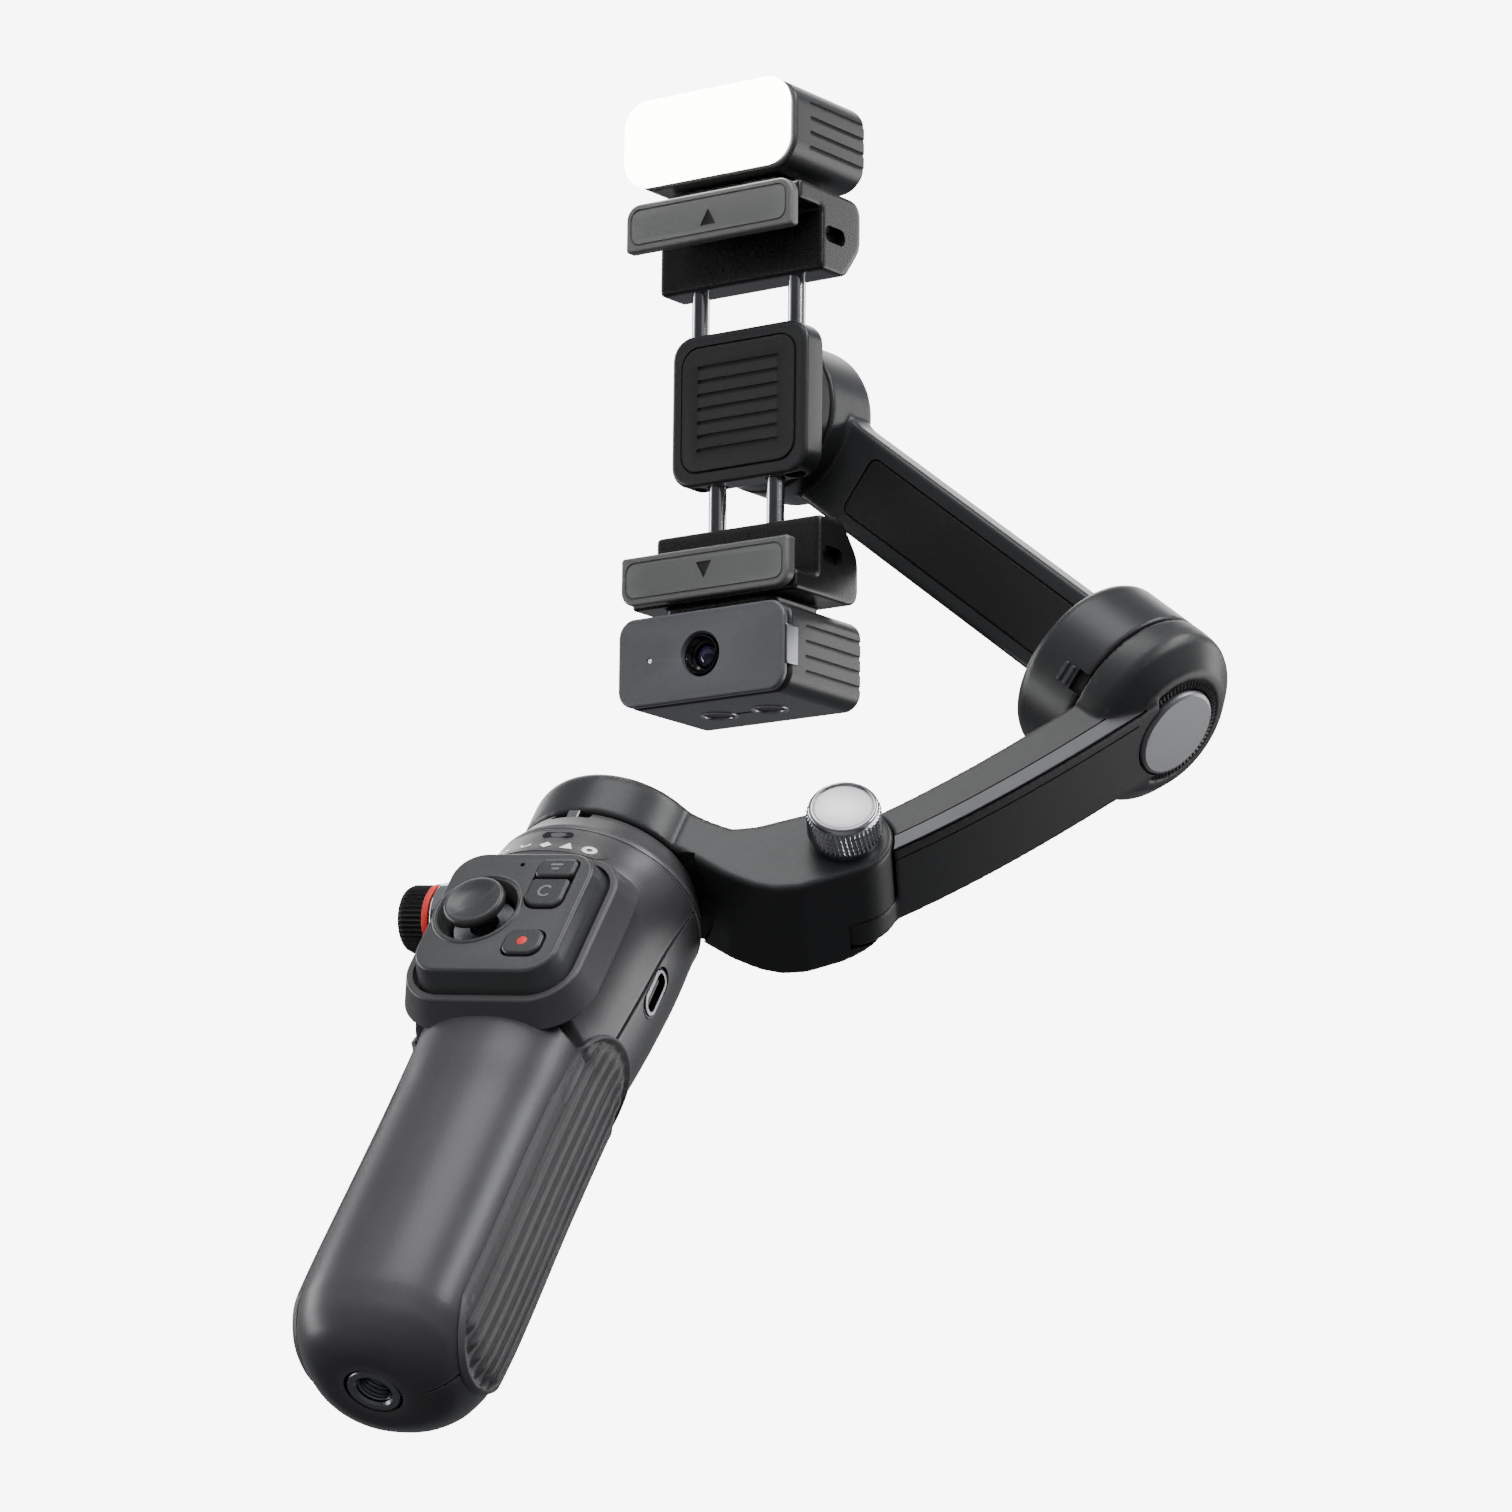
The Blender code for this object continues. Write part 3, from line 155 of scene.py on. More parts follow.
class Graph:
    """Node tree of one material, filled through one method."""

    def __init__(self, name: str) -> None:
        """Start a material.

        Args:
            name: Name of the new material.
        """
        self.material = bpy.data.materials.new(name)
        self.material.use_nodes = True
        self.nodes = self.material.node_tree.nodes
        self.links = self.material.node_tree.links
        self.shader = self.nodes["Principled BSDF"]

    def add(self, kind: str, settings: dict, inputs: dict, output: Union[int, str] = 0) -> Signal:
        """Add any node.

        Args:
            kind: The node's type.
            settings: Its properties, set before its sockets.
            inputs: Values or links of its sockets, by name or index.
            output: The output that is wanted.

        Returns:
            The wanted output.
        """
        node = self.nodes.new(kind)
        for key, value in settings.items():
            setattr(node, key, value)
        for key, value in inputs.items():
            self.feed(node.inputs[key], value)
        return Signal(self, node.outputs[output])

    def feed(self, socket: bpy.types.NodeSocket, value: Value) -> None:
        """Link a signal to a socket, or set its value.

        Args:
            socket: The input socket.
            value: A signal, a number or a row of numbers.
        """
        if isinstance(value, Signal):
            self.links.new(value.socket, socket)
        else:
            socket.default_value = value

    def surface(self, **inputs: Value) -> None:
        """Set sockets of the Principled shader.

        Args:
            **inputs: Values by socket name, with underscores for spaces.
        """
        for key, value in inputs.items():
            self.feed(self.shader.inputs[key.replace("_", " ")], value)

    def place(self) -> Signal:
        """Object coordinates."""
        return self.add("ShaderNodeTexCoord", {}, {}, "Object")

    def noise(self, scale: float, detail: float = 2.0, where: Signal | None = None) -> Signal:
        """Noise over the surface.

        Args:
            scale: Waves per metre.
            detail: Number of finer octaves.
            where: Coordinates, or the object's own.

        Returns:
            The noise, 0 to 1.
        """
        place = where or self.place()
        return self.add("ShaderNodeTexNoise", {}, {"Vector": place, "Scale": scale, "Detail": detail}, "Fac")

    def ramp(self, factor: Signal, low: float, high: float) -> Signal:
        """Clamped smooth rescale of a signal to 0 to 1.

        Args:
            factor: The signal.
            low: What becomes 0.
            high: What becomes 1.

        Returns:
            The rescaled signal.
        """
        settings = {"interpolation_type": "SMOOTHSTEP"}
        return self.add("ShaderNodeMapRange", settings, {"Value": factor, "From Min": low, "From Max": high})

    def mix(self, factor: Value, first: Value, second: Value) -> Signal:
        """Mix of two colours.

        Args:
            factor: Share of the second colour.
            first: First colour.
            second: Second colour.

        Returns:
            The mixed colour.
        """
        return self.add("ShaderNodeMix", {"data_type": "RGBA"}, {0: factor, 6: first, 7: second}, 2)

    def bump(self, height: Signal, depth: float, strength: float = 1.0) -> Signal:
        """Normal from a height.

        Args:
            height: The height, 0 to 1.
            depth: Real height of 1, in millimetres.
            strength: Strength of the effect.

        Returns:
            The normal.
        """
        return self.add("ShaderNodeBump", {}, {"Height": height, "Distance": depth * MM,
                                               "Strength": strength}, "Normal")


def linear(level: float) -> float:
    """Linear light of one sRGB level, 0 to 255.

    Args:
        level: The sRGB level.

    Returns:
        The linear value, 0 to 1.
    """
    share = level / 255
    return share / 12.92 if share <= 0.04045 else ((share + 0.055) / 1.055) ** 2.4


def paint(levels: Sequence[float], gain: float = 1.0) -> tuple[float, float, float, float]:
    """Linear colour with alpha from sRGB levels.

    Args:
        levels: Red, green and blue, 0 to 255.
        gain: Factor on the linear colour.

    Returns:
        The colour for a socket.
    """
    return (*[linear(level) * gain for level in levels], 1.0)


# ------------------------------------------------------------------ finishes
class Finish:
    """A surface finish that makes its material once."""

    _made: dict[str, bpy.types.Material] = {}

    def build(self, graph: Graph) -> None:
        """Fill the graph."""
        raise NotImplementedError

    def material(self, name: str) -> bpy.types.Material:
        """The finish's material.

        Args:
            name: Name of the finish.

        Returns:
            The material, the same one for every piece.
        """
        if name not in self._made:
            graph = Graph(name)
            self.build(graph)
            self._made[name] = graph.material
        return self._made[name]


@dataclass(frozen=True)
class Moulded(Finish):
    """Moulded plastic with a spark-eroded texture and lighter edges, part wear and part painted edge
    highlight.
    """

    levels: tuple[float, float, float]
    roughness: float = 0.42
    grain: float = 0.012
    grain_scale: float = 1900.0
    rubbed: float = 0.5
    flake: float = 0.12
    metallic: float = 0.0

    def build(self, graph: Graph) -> None:
        """Fill the graph."""
        grain = graph.noise(self.grain_scale, 3.0)
        cloud = graph.noise(38.0, 3.0)
        fleck = graph.ramp(graph.noise(5200.0, 1.0), 0.62, 0.75)
        # convex edges lightened: part wear, part painted highlight
        edge = graph.ramp(graph.add("ShaderNodeNewGeometry", {}, {}, "Pointiness"), 0.515, 0.60)
        body = graph.mix(cloud, paint(self.levels, 0.88), paint(self.levels, 1.12))
        body = graph.mix(fleck * self.flake, body, paint([level + 70 for level in self.levels]))
        body = graph.mix(edge * self.rubbed, body, paint([level * 1.35 + 8 for level in self.levels]))
        graph.surface(Base_Color=body, Metallic=self.metallic,
                      Roughness=self.roughness + (grain - 0.5) * 0.16 + (cloud - 0.5) * 0.08,
                      Normal=graph.bump(grain, self.grain))


@dataclass(frozen=True)
class Rubber(Finish):
    """Soft rubber with a dusty, open texture and lighter crests, a painted highlight."""

    levels: tuple[float, float, float]
    roughness: float = 0.72

    def build(self, graph: Graph) -> None:
        """Fill the graph."""
        grain = graph.noise(2600.0, 4.0)
        cloud = graph.noise(60.0, 2.0)
        # convex rib crests and rims lightened: painted highlight
        edge = graph.ramp(graph.add("ShaderNodeNewGeometry", {}, {}, "Pointiness"), 0.51, 0.58)
        body = graph.mix(cloud, paint(self.levels, 0.8), paint(self.levels, 1.15))
        body = graph.mix(edge * 0.6, body, paint([level * 1.6 + 10 for level in self.levels]))
        graph.surface(Base_Color=body, Roughness=self.roughness + (grain - 0.5) * 0.2,
                      Normal=graph.bump(grain, 0.02))


class Lay(Enum):
    """Direction of a metal's machining marks."""

    NONE = "none"
    ALONG_X = "x"
    ALONG_Z = "z"


@dataclass(frozen=True)
class Metal(Finish):
    """Machined or plated metal with fine marks."""

    levels: tuple[float, float, float]
    roughness: float = 0.25
    lay: Lay = Lay.NONE
    marks: float = 0.004

    def build(self, graph: Graph) -> None:
        """Fill the graph."""
        stretch = {Lay.NONE: (1, 1, 1), Lay.ALONG_X: (0.03, 1, 1), Lay.ALONG_Z: (1, 1, 0.03)}[self.lay]
        where = graph.add("ShaderNodeMapping", {}, {"Vector": graph.place(), "Scale": stretch})
        marks = graph.noise(3400.0, 2.0, where)
        smudge = graph.noise(90.0, 3.0)
        body = graph.mix(smudge, paint(self.levels, 0.9), paint(self.levels, 1.05))
        graph.surface(Base_Color=body, Metallic=1.0,
                      Roughness=self.roughness + (marks - 0.5) * 0.12 + (smudge - 0.5) * 0.1,
                      Normal=graph.bump(marks, self.marks))


@dataclass(frozen=True)
class Print(Finish):
    """Printed ink, slightly uneven."""

    levels: tuple[float, float, float]
    roughness: float = 0.5

    def build(self, graph: Graph) -> None:
        """Fill the graph."""
        uneven = graph.noise(2400.0, 2.0)
        body = graph.mix(uneven, paint(self.levels, 0.82), paint(self.levels, 1.08))
        graph.surface(Base_Color=body, Roughness=self.roughness + (uneven - 0.5) * 0.2,
                      Normal=graph.bump(uneven, 0.004))


@dataclass(frozen=True)
class Glow(Finish):
    """Frosted diffuser lit from behind."""

    levels: tuple[float, float, float]
    strength: float = 14.0

    def build(self, graph: Graph) -> None:
        """Fill the graph."""
        frost = graph.noise(1500.0, 3.0)
        warm = graph.noise(55.0, 1.0)
        graph.surface(Base_Color=graph.mix(frost, paint(self.levels, 0.85), paint(self.levels)),
                      Roughness=0.45 + (frost - 0.5) * 0.2,
                      Emission_Color=graph.mix(warm, paint((255, 250, 236)), paint((255, 254, 248))),
                      Emission_Strength=self.strength, Normal=graph.bump(frost, 0.01))


@dataclass(frozen=True)
class Glass(Finish):
    """Dark coated lens glass, its tint towards grazing angles a painted reflection."""

    levels: tuple[float, float, float]
    coating: tuple[float, float, float] = (60, 50, 96)

    def build(self, graph: Graph) -> None:
        """Fill the graph."""
        cloud = graph.noise(240.0, 1.0)
        # colour by facing: painted reflection of the lens coat at grazing angles
        rim = graph.add("ShaderNodeLayerWeight", {}, {"Blend": 0.4}, "Facing")
        body = graph.mix(rim, paint(self.levels), paint(self.coating))
        graph.surface(Base_Color=body, Roughness=0.04 + cloud * 0.03, Coat_Weight=1.0, Coat_Roughness=0.02)


@dataclass(frozen=True)
class Winding(Finish):
    """Enamelled copper wire laid turn by turn."""

    levels: tuple[float, float, float]

    def build(self, graph: Graph) -> None:
        """Fill the graph."""
        wave = graph.add("ShaderNodeTexWave", {"bands_direction": "Z"}, {"Scale": 420.0, "Distortion": 0.6},
                         "Fac")
        body = graph.mix(wave, paint(self.levels, 0.45), paint(self.levels, 1.1))
        graph.surface(Base_Color=body, Metallic=1.0, Roughness=0.3 + wave * 0.2, Normal=graph.bump(wave, 0.1))


@dataclass(frozen=True)
class Board(Finish):
    """Solder mask with pale tracks."""

    levels: tuple[float, float, float]

    def build(self, graph: Graph) -> None:
        """Fill the graph."""
        cells = graph.add("ShaderNodeTexVoronoi", {"distance": "CHEBYCHEV"}, {"Scale": 520.0}, "Distance")
        track = graph.ramp(cells, 0.42, 0.5)
        body = graph.mix(track * 0.7, paint(self.levels), paint([level + 90 for level in self.levels]))
        graph.surface(Base_Color=body, Roughness=0.35 + track * 0.2, Normal=graph.bump(track, 0.05))


class Skin(Enum):
    """The gimbal's finishes, each with its material slot in the record."""

    SHELL = (Moulded((62, 62, 64), roughness=0.36, metallic=0.25), "shell_grey")
    # darker copy of the shell grey: painted shade for the arms
    ARM = (Moulded((40, 41, 42), roughness=0.36, metallic=0.25), "shell_grey")
    PANEL = (Moulded((50, 51, 52), roughness=0.34, rubbed=0.35), "gloss_black")
    BLACK = (Moulded((16, 16, 17), roughness=0.4, flake=0.03, rubbed=0.25), "gloss_black")
    PIANO = (Moulded((10, 10, 11), roughness=0.12, grain=0.002, flake=0.0, rubbed=0.1), "gloss_black")
    KEY = (Moulded((44, 45, 46), roughness=0.3, rubbed=0.4), "dark_plastic")
    # darker still copy of the shell grey: painted shade for the swing arm
    SWING = (Moulded((31, 32, 33), roughness=0.42), "shell_grey")
    LIP = (Moulded((88, 89, 89), roughness=0.36, metallic=0.2), "clamp_grey")
    MODULE = (Moulded((78, 80, 83), roughness=0.34, metallic=0.2), "clamp_grey")
    HOUSING = (Moulded((32, 33, 34), roughness=0.34, flake=0.05), "shell_grey")
    JAW = (Moulded((22, 22, 23), roughness=0.3, flake=0.02, rubbed=0.15), "clamp_grey")
    INLAY = (Moulded((20, 20, 21), roughness=0.5, rubbed=0.1, flake=0.03), "dark_plastic")
    GRIP = (Rubber((46, 46, 48), roughness=0.5), "grip_rubber")
    PAD = (Rubber((20, 20, 21), roughness=0.85), "pad_rubber")
    CHROME = (Metal((205, 206, 208), roughness=0.14, marks=0.001), "silver_metal")
    SILVER = (Metal((150, 151, 153), roughness=0.3), "silver_metal")
    DISC = (Metal((148, 149, 151), roughness=0.42), "silver_metal")
    STRIP = (Metal((90, 91, 93), roughness=0.45, lay=Lay.ALONG_X), "silver_metal")
    CAP = (Metal((228, 228, 230), roughness=0.42), "silver_metal")
    STEEL = (Metal((140, 142, 145), roughness=0.28, lay=Lay.ALONG_Z), "steel")
    COPPER = (Winding((178, 98, 54)), "copper_winding")
    WRAP = (Print((40, 78, 126)), "cell_wrap")
    BOARD = (Board((22, 66, 46)), "circuit_board")
    WHITE = (Print((226, 228, 230)), "diffuser_white")
    RED = (Print((196, 34, 30)), "dark_plastic")
    DIFFUSER = (Glow((250, 249, 244)), "diffuser_white")
    GLASS = (Glass((8, 9, 14)), "lens_glass")

    def __init__(self, finish: Finish, slot: str) -> None:
        """Keep the finish and its slot.

        Args:
            finish: The finish.
            slot: The record's material slot.
        """
        self.finish = finish
        self.slot = slot

    def material(self) -> bpy.types.Material:
        """The finish's material."""
        return self.finish.material(self.name.lower())


# ------------------------------------------------------------------ forms
def arc(centre: Point, radius: float, start: float, end: float, steps: int) -> list[Point]:
    """Points of an arc.

    Args:
        centre: The arc's centre.
        radius: Its radius.
        start: First angle in degrees.
        end: Last angle in degrees.
        steps: Number of chords.

    Returns:
        The points.
    """
    turns = [math.radians(start + (end - start) * step / steps) for step in range(steps + 1)]
    return [(centre[0] + radius * math.cos(turn), centre[1] + radius * math.sin(turn)) for turn in turns]


def rounded(corners: Sequence[Sequence[float]], radius: float, steps: int = 10) -> list[Point]:
    """Convex polygon with every corner an arc.

    Args:
        corners: Anticlockwise corners, each with an optional radius of its own.
        radius: Radius of the other corners.
        steps: Chords in each arc.

    Returns:
        The outline.
    """
    outline: list[Point] = []
    for index, corner in enumerate(corners):
        here = Vector(corner[:2])
        size = corner[2] if len(corner) > 2 else radius
        before = (Vector(corners[index - 1][:2]) - here).normalized()
        after = (Vector(corners[(index + 1) % len(corners)][:2]) - here).normalized()
        half = before.angle(after) / 2
        centre = here + (before + after).normalized() * (size / math.sin(half))
        start = here + before * (size / math.tan(half)) - centre
        sweep = start.angle_signed(here + after * (size / math.tan(half)) - centre)
        outline += [tuple(centre + Matrix.Rotation(-sweep * s / steps, 2) @ start) for s in range(steps + 1)]
    return outline


def oblong(width: float, height: float, radius: float, centre: Point = (0.0, 0.0),
           steps: int = 10) -> list[Point]:
    """Rounded rectangle.

    Args:
        width: Size along x.
        height: Size along y.
        radius: Corner radius.
        centre: Its middle.
        steps: Chords in each corner.

    Returns:
        The outline.
    """
    x, y, w, h = *centre, width / 2, height / 2
    return rounded([(x - w, y - h), (x + w, y - h), (x + w, y + h), (x - w, y + h)],
                   min(radius, w - 0.01, h - 0.01), steps)


def smoothstep(low: float, high: float, value: float) -> float:
    """Smooth step from 0 at low to 1 at high."""
    share = min(1.0, max(0.0, (value - low) / (high - low)))
    return share * share * (3 - 2 * share)


class Form:
    """A shape in millimetres, made with bmesh operators."""

    def __init__(self) -> None:
        """Start empty."""
        self.bm = bmesh.new()
        self.flat = False        # whether its large faces are plane

    @classmethod
    def slab(cls, outline: Sequence[Point], low: float, high: float, edge: float = 0.0,
             segments: int = 3) -> "Form":
        """Flat outline extruded along z, with its rim rounded.

        Args:
            outline: Points in the x-y plane.
            low: Lower level.
            high: Upper level.
            edge: Radius of the rounding.
            segments: Steps of the rounding.

        Returns:
            The form.
        """
        form = cls()
        form.flat = True
        face = form.bm.faces.new([form.bm.verts.new((x, y, low)) for x, y in outline])
        raised = bmesh.ops.extrude_face_region(form.bm, geom=[face], use_keep_orig=True)
        top = [item for item in raised["geom"] if isinstance(item, bmesh.types.BMVert)]
        bmesh.ops.translate(form.bm, verts=top, vec=(0, 0, high - low))
        bmesh.ops.recalc_face_normals(form.bm, faces=form.bm.faces)
        return form.rounding(edge, segments) if edge else form

    @classmethod
    def turned(cls, profile: Sequence[Point], steps: int = 96, edge: float = 0.0, segments: int = 2,
               ring: bool = False) -> "Form":
        """Solid of revolution about z.

        Args:
            profile: Radius and height of each point.
            steps: Sides of the solid.
            edge: Radius given to its sharp edges.
            segments: Steps of that rounding.
            ring: Whether the profile closes on itself.

        Returns:
            The form.
        """
        form = cls()
        verts = [form.bm.verts.new((radius, 0, height)) for radius, height in profile]
        edges = [form.bm.edges.new(pair) for pair in zip(verts, verts[1:])]
        if ring:
            edges.append(form.bm.edges.new((verts[-1], verts[0])))
        bmesh.ops.spin(form.bm, geom=verts + edges, axis=(0, 0, 1), cent=(0, 0, 0), angle=2 * math.pi,
                       steps=steps, use_merge=True)
        bmesh.ops.remove_doubles(form.bm, verts=form.bm.verts, dist=MERGE)
        bmesh.ops.recalc_face_normals(form.bm, faces=form.bm.faces)
        return form.rounding(edge, segments, 25.0) if edge else form

    @classmethod
    def drum(cls, radius: float, low: float, high: float, steps: int) -> "Form":
        """Plain cylinder on z.

        Args:
            radius: Its radius.
            low: Lower level.
            high: Upper level.
            steps: Its sides.

        Returns:
            The form.
        """
        return cls.turned([(0, high), (radius, high), (radius, low), (0, low)], steps)

    @classmethod
    def sheet(cls, across: Sequence[float], along: Sequence[float], surface: Callable[[float, float], Vector],
              wall: float = 0.0) -> "Form":
        """Grid laid on a surface, with an optional wall behind it.

        Args:
            across: First parameter of each column.
            along: Second parameter of each row.
            surface: Point of the surface for the two parameters.
            wall: Thickness behind the surface.

        Returns:
            The form.
        """
        form = cls()
        columns, rows = len(across) - 1, len(along) - 1
        made = bmesh.ops.create_grid(form.bm, x_segments=columns, y_segments=rows, size=1)
        for vert in made["verts"]:
            column = round((vert.co.x + 1) / 2 * columns)
            row = round((vert.co.y + 1) / 2 * rows)
            vert.co = surface(across[column], along[row])
        if wall:
            form.bm.normal_update()
            bmesh.ops.solidify(form.bm, geom=form.bm.faces, thickness=wall)
        bmesh.ops.remove_doubles(form.bm, verts=form.bm.verts, dist=MERGE)
        bmesh.ops.recalc_face_normals(form.bm, faces=form.bm.faces)
        return form

    def rounding(self, radius: float, segments: int = 3, sharper: float = 40.0,
                 only: Callable[[Vector], bool] | None = None) -> "Form":
        """Round the sharp edges.

        Args:
            radius: Radius of the rounding.
            segments: Its steps.
            sharper: Edges below this angle stay, in degrees.
            only: Keeps the edges whose middle it accepts.

        Returns:
            The same form.
        """
        edges = [edge for edge in self.bm.edges if len(edge.link_faces) == 2
                 and edge.calc_face_angle() > math.radians(sharper)
                 and (only is None or only((edge.verts[0].co + edge.verts[1].co) / 2))]
        bmesh.ops.bevel(self.bm, geom=edges, offset=radius, offset_type="OFFSET", segments=segments,
                        profile=0.5, affect="EDGES", material=-1, clamp_overlap=True)
        bmesh.ops.recalc_face_normals(self.bm, faces=self.bm.faces)
        return self

    def fluted(self, count: int, depth: float, beyond: float, twist: float = 0.0) -> "Form":
        """Press a row of flutes into the outer wall.

        Args:
            count: Number of flutes.
            depth: Their depth.
            beyond: Only points beyond this radius move.
            twist: Turn of the flutes, radians a millimetre.

        Returns:
            The same form.
        """
        for vert in self.bm.verts:
            radius = math.hypot(vert.co.x, vert.co.y)
            if radius > beyond:
                turn = math.atan2(vert.co.y, vert.co.x) + twist * vert.co.z
                scale = 1 - depth * (0.5 + 0.5 * math.cos(count * turn)) / radius
                vert.co.x *= scale
                vert.co.y *= scale
        return self

    def moved(self, matrix: Matrix) -> "Form":
        """Carry the form to another seat.

        Args:
            matrix: The transform.

        Returns:
            The same form.
        """
        bmesh.ops.transform(self.bm, matrix=matrix, verts=self.bm.verts)
        return self

    def shifted(self, x: float = 0.0, y: float = 0.0, z: float = 0.0) -> "Form":
        """Shift the form along its axes."""
        return self.moved(Matrix.Translation((x, y, z)))

    def mesh(self, name: str) -> bpy.types.Mesh:
        """Write the form to a mesh and free it.

        Args:
            name: Name of the mesh.

        Returns:
            The mesh.
        """
        made = bpy.data.meshes.new(name)
        self.bm.to_mesh(made)
        self.bm.free()
        return made

    def combined(self, joins: Iterable["Form"] = (), cuts: Iterable["Form"] = (),
                 keep: Iterable["Form"] = (), solver: str = "EXACT") -> "Form":
        """Weld, take away and intersect other forms.

        Args:
            joins: Forms to weld on.
            cuts: Forms to take away.
            keep: Forms to intersect with.
            solver: The Boolean solver.

        Returns:
            A new form.
        """
        base = bpy.data.objects.new("base", self.mesh("base"))
        bpy.context.scene.collection.objects.link(base)
        others = []
        for operation, forms in (("INTERSECT", keep), ("UNION", joins), ("DIFFERENCE", cuts)):
            for form in forms:
                other = bpy.data.objects.new("tool", form.mesh("tool"))
                bpy.context.scene.collection.objects.link(other)
                step = base.modifiers.new("step", "BOOLEAN")
                step.operation, step.solver, step.object = operation, solver, other
                others.append(other)
        result = Form.evaluated(base)
        result.flat = self.flat
        for item in [base, *others]:
            bpy.data.objects.remove(item)
        return result

    @staticmethod
    def evaluated(source: bpy.types.Object) -> "Form":
        """Form of an object with its modifiers applied.

        Args:
            source: The object.

        Returns:
            A new form.
        """
        form = Form()
        form.bm.from_object(source, bpy.context.evaluated_depsgraph_get())
        return form

    def softened(self, voxel: float = 0.45, passes: int = 6) -> "Form":
        """Rebuild the skin evenly and relax it, as a moulding's edges and fillets are.

        Args:
            voxel: Size of the new faces.
            passes: Relaxing passes.

        Returns:
            A new form.
        """
        base = bpy.data.objects.new("base", self.mesh("base"))
        bpy.context.scene.collection.objects.link(base)
        step = base.modifiers.new("skin", "REMESH")
        step.mode, step.voxel_size = "VOXEL", voxel
        result = Form.evaluated(base)
        bpy.data.objects.remove(base)
        for _ in range(passes):
            bmesh.ops.smooth_vert(result.bm, verts=result.bm.verts, factor=0.5, use_axis_x=True,
                                  use_axis_y=True, use_axis_z=True)
        return result


# ------------------------------------------------------------------ seats
def seat(origin: Sequence[float], x_axis: Vector, z_axis: Vector) -> Matrix:
    """Local frame in millimetres.

    Args:
        origin: Its origin.
        x_axis: Its x direction.
        z_axis: Its z direction.

    Returns:
        The matrix from the seat to the whole object.
    """
    matrix = Matrix((x_axis, z_axis.cross(x_axis), z_axis)).transposed().to_4x4()
    matrix.translation = Vector(origin)
    return matrix


# seats of outlines drawn from another side: a jaw's end view, its face in plan, and its plan from below
ENDWAYS = seat((0, 0, 0), Vector((0, 0, 1)), Vector((-1, 0, 0)))
OUTWARD = seat((0, 0, 0), Vector((1, 0, 0)), Vector((0, 1, 0)))
UNDER = seat((0, 0, 0), Vector((-1, 0, 0)), Vector((0, 1, 0)))


class Seats:
    """Seats of the gimbal's sub-assemblies, from the joints of the record."""

    def __init__(self, joints: Sequence[dict]) -> None:
        """Read the joints.

        Args:
            joints: The record's joints.
        """
        named = {joint["name"]: joint for joint in joints}
        up, right, front = Vector((0, 0, 1)), Vector((1, 0, 0)), Vector((0, -1, 0))

        def axis(name: str) -> Vector:
            """Direction of a joint."""
            return Vector(named[name]["axis"]).normalized()

        def spot(name: str) -> Vector:
            """Place of a joint, in millimetres."""
            return Vector(named[name]["pos_m"]) / MM

        forward, tilt_out, roll_out, slide = (axis(n) for n in ("fold", "tilt", "roll", "upper_jaw_slide"))
        out = up.cross(forward)
        clamp_x = slide.cross(roll_out)
        self.handle = seat((0, 0, 0), right, up)
        self.front = seat((0, 0, 0), right, front)
        self.side = seat((0, 0, 0), Vector((0, 1, 0)), right)
        self.pan = seat((0, 0, 0), out, up)
        self.arm = seat((0, 0, 0), out, forward)
        self.hinge = seat(spot("fold"), out, forward)
        self.swing_motor = seat(spot("tilt"), forward, tilt_out)
        self.tilt_motor = seat(spot("tilt"), roll_out, tilt_out)
        self.bar = seat(spot("tilt"), tilt_out, roll_out)
        self.roll = seat(spot("roll"), tilt_out, roll_out)
        self.upper = seat(spot("roll"), clamp_x, roll_out)
        self.lower = seat(spot("roll"), -clamp_x, roll_out)
        self.wheel = seat(spot("zoom_dial"), Vector((0, 1, 0)), right)


# ------------------------------------------------------------------ workshop
class Workshop:
    """Turns forms into finished objects beside the frame."""

    def __init__(self, frame: dict) -> None:
        """Keep the frame.
        """
        self.frame = frame
        self.seats = Seats(frame["joints"])

    def piece(self, name: str, form: Form, at: Matrix, skin: Skin, crease: float) -> bpy.types.Object:
        """Make a form's object, smooth between its creases.

        Args:
            name: The piece's name.
            form: Its shape in its seat.
            at: The seat.
            skin: Its finish.
            crease: Edges sharper than this stay crisp, degrees.

        Returns:
            The piece.
        """
        mesh = form.moved(Matrix.Scale(MM, 4) @ at).mesh(name)
        mesh.shade_smooth()
        mesh.set_sharp_from_angle(angle=math.radians(crease))
        mesh.materials.append(skin.material())
        made = bpy.data.objects.new(name, mesh)
        bpy.context.scene.collection.objects.link(made)
        if form.flat:
            made.modifiers.new("flat faces", "WEIGHTED_NORMAL").keep_sharp = True
        LOG.info("%s, %d faces", name, len(mesh.polygons))
        return made

    def dress(self, skins: dict[str, Skin]) -> None:
        """Give CAD nodes their finishes.

        Args:
            skins: Finish of each node.
        """
        for name, skin in skins.items():
            node = self.frame["nodes"][name]
            node.data.materials.clear()
            node.data.materials.append(skin.material())
            LOG.info("%s keeps its CAD shape", name)


@dataclass
class Assembly:
    """Sub-assembly whose pieces ride on one body, unless they name another."""

    shop: Workshop
    body: ClassVar[str] = ""

    @property
    def seats(self) -> Seats:
        """Seats of the sub-assemblies."""
        return self.shop.seats

    def add(self, name: str, form: Form, at: Matrix, skin: Skin, stands_for: str = "", crease: float = CREASE,
            body: str = "", slot: str = "") -> None:
        """Finish a form as one piece.

        Args:
            name: The piece's name.
            form: Its shape in its seat.
            at: The seat.
            skin: Its finish.
            stands_for: CAD node that it replaces.
            crease: Edges sharper than this stay crisp, degrees.
            body: The body that it rides on, if not the assembly's.
            slot: The record's material slot, if not the skin's; not used.
        """
        made = self.shop.piece(name, form, at, skin, crease)
        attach(made, body or self.body)
        slot or skin.slot
        if stands_for:
            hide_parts(stands_for)


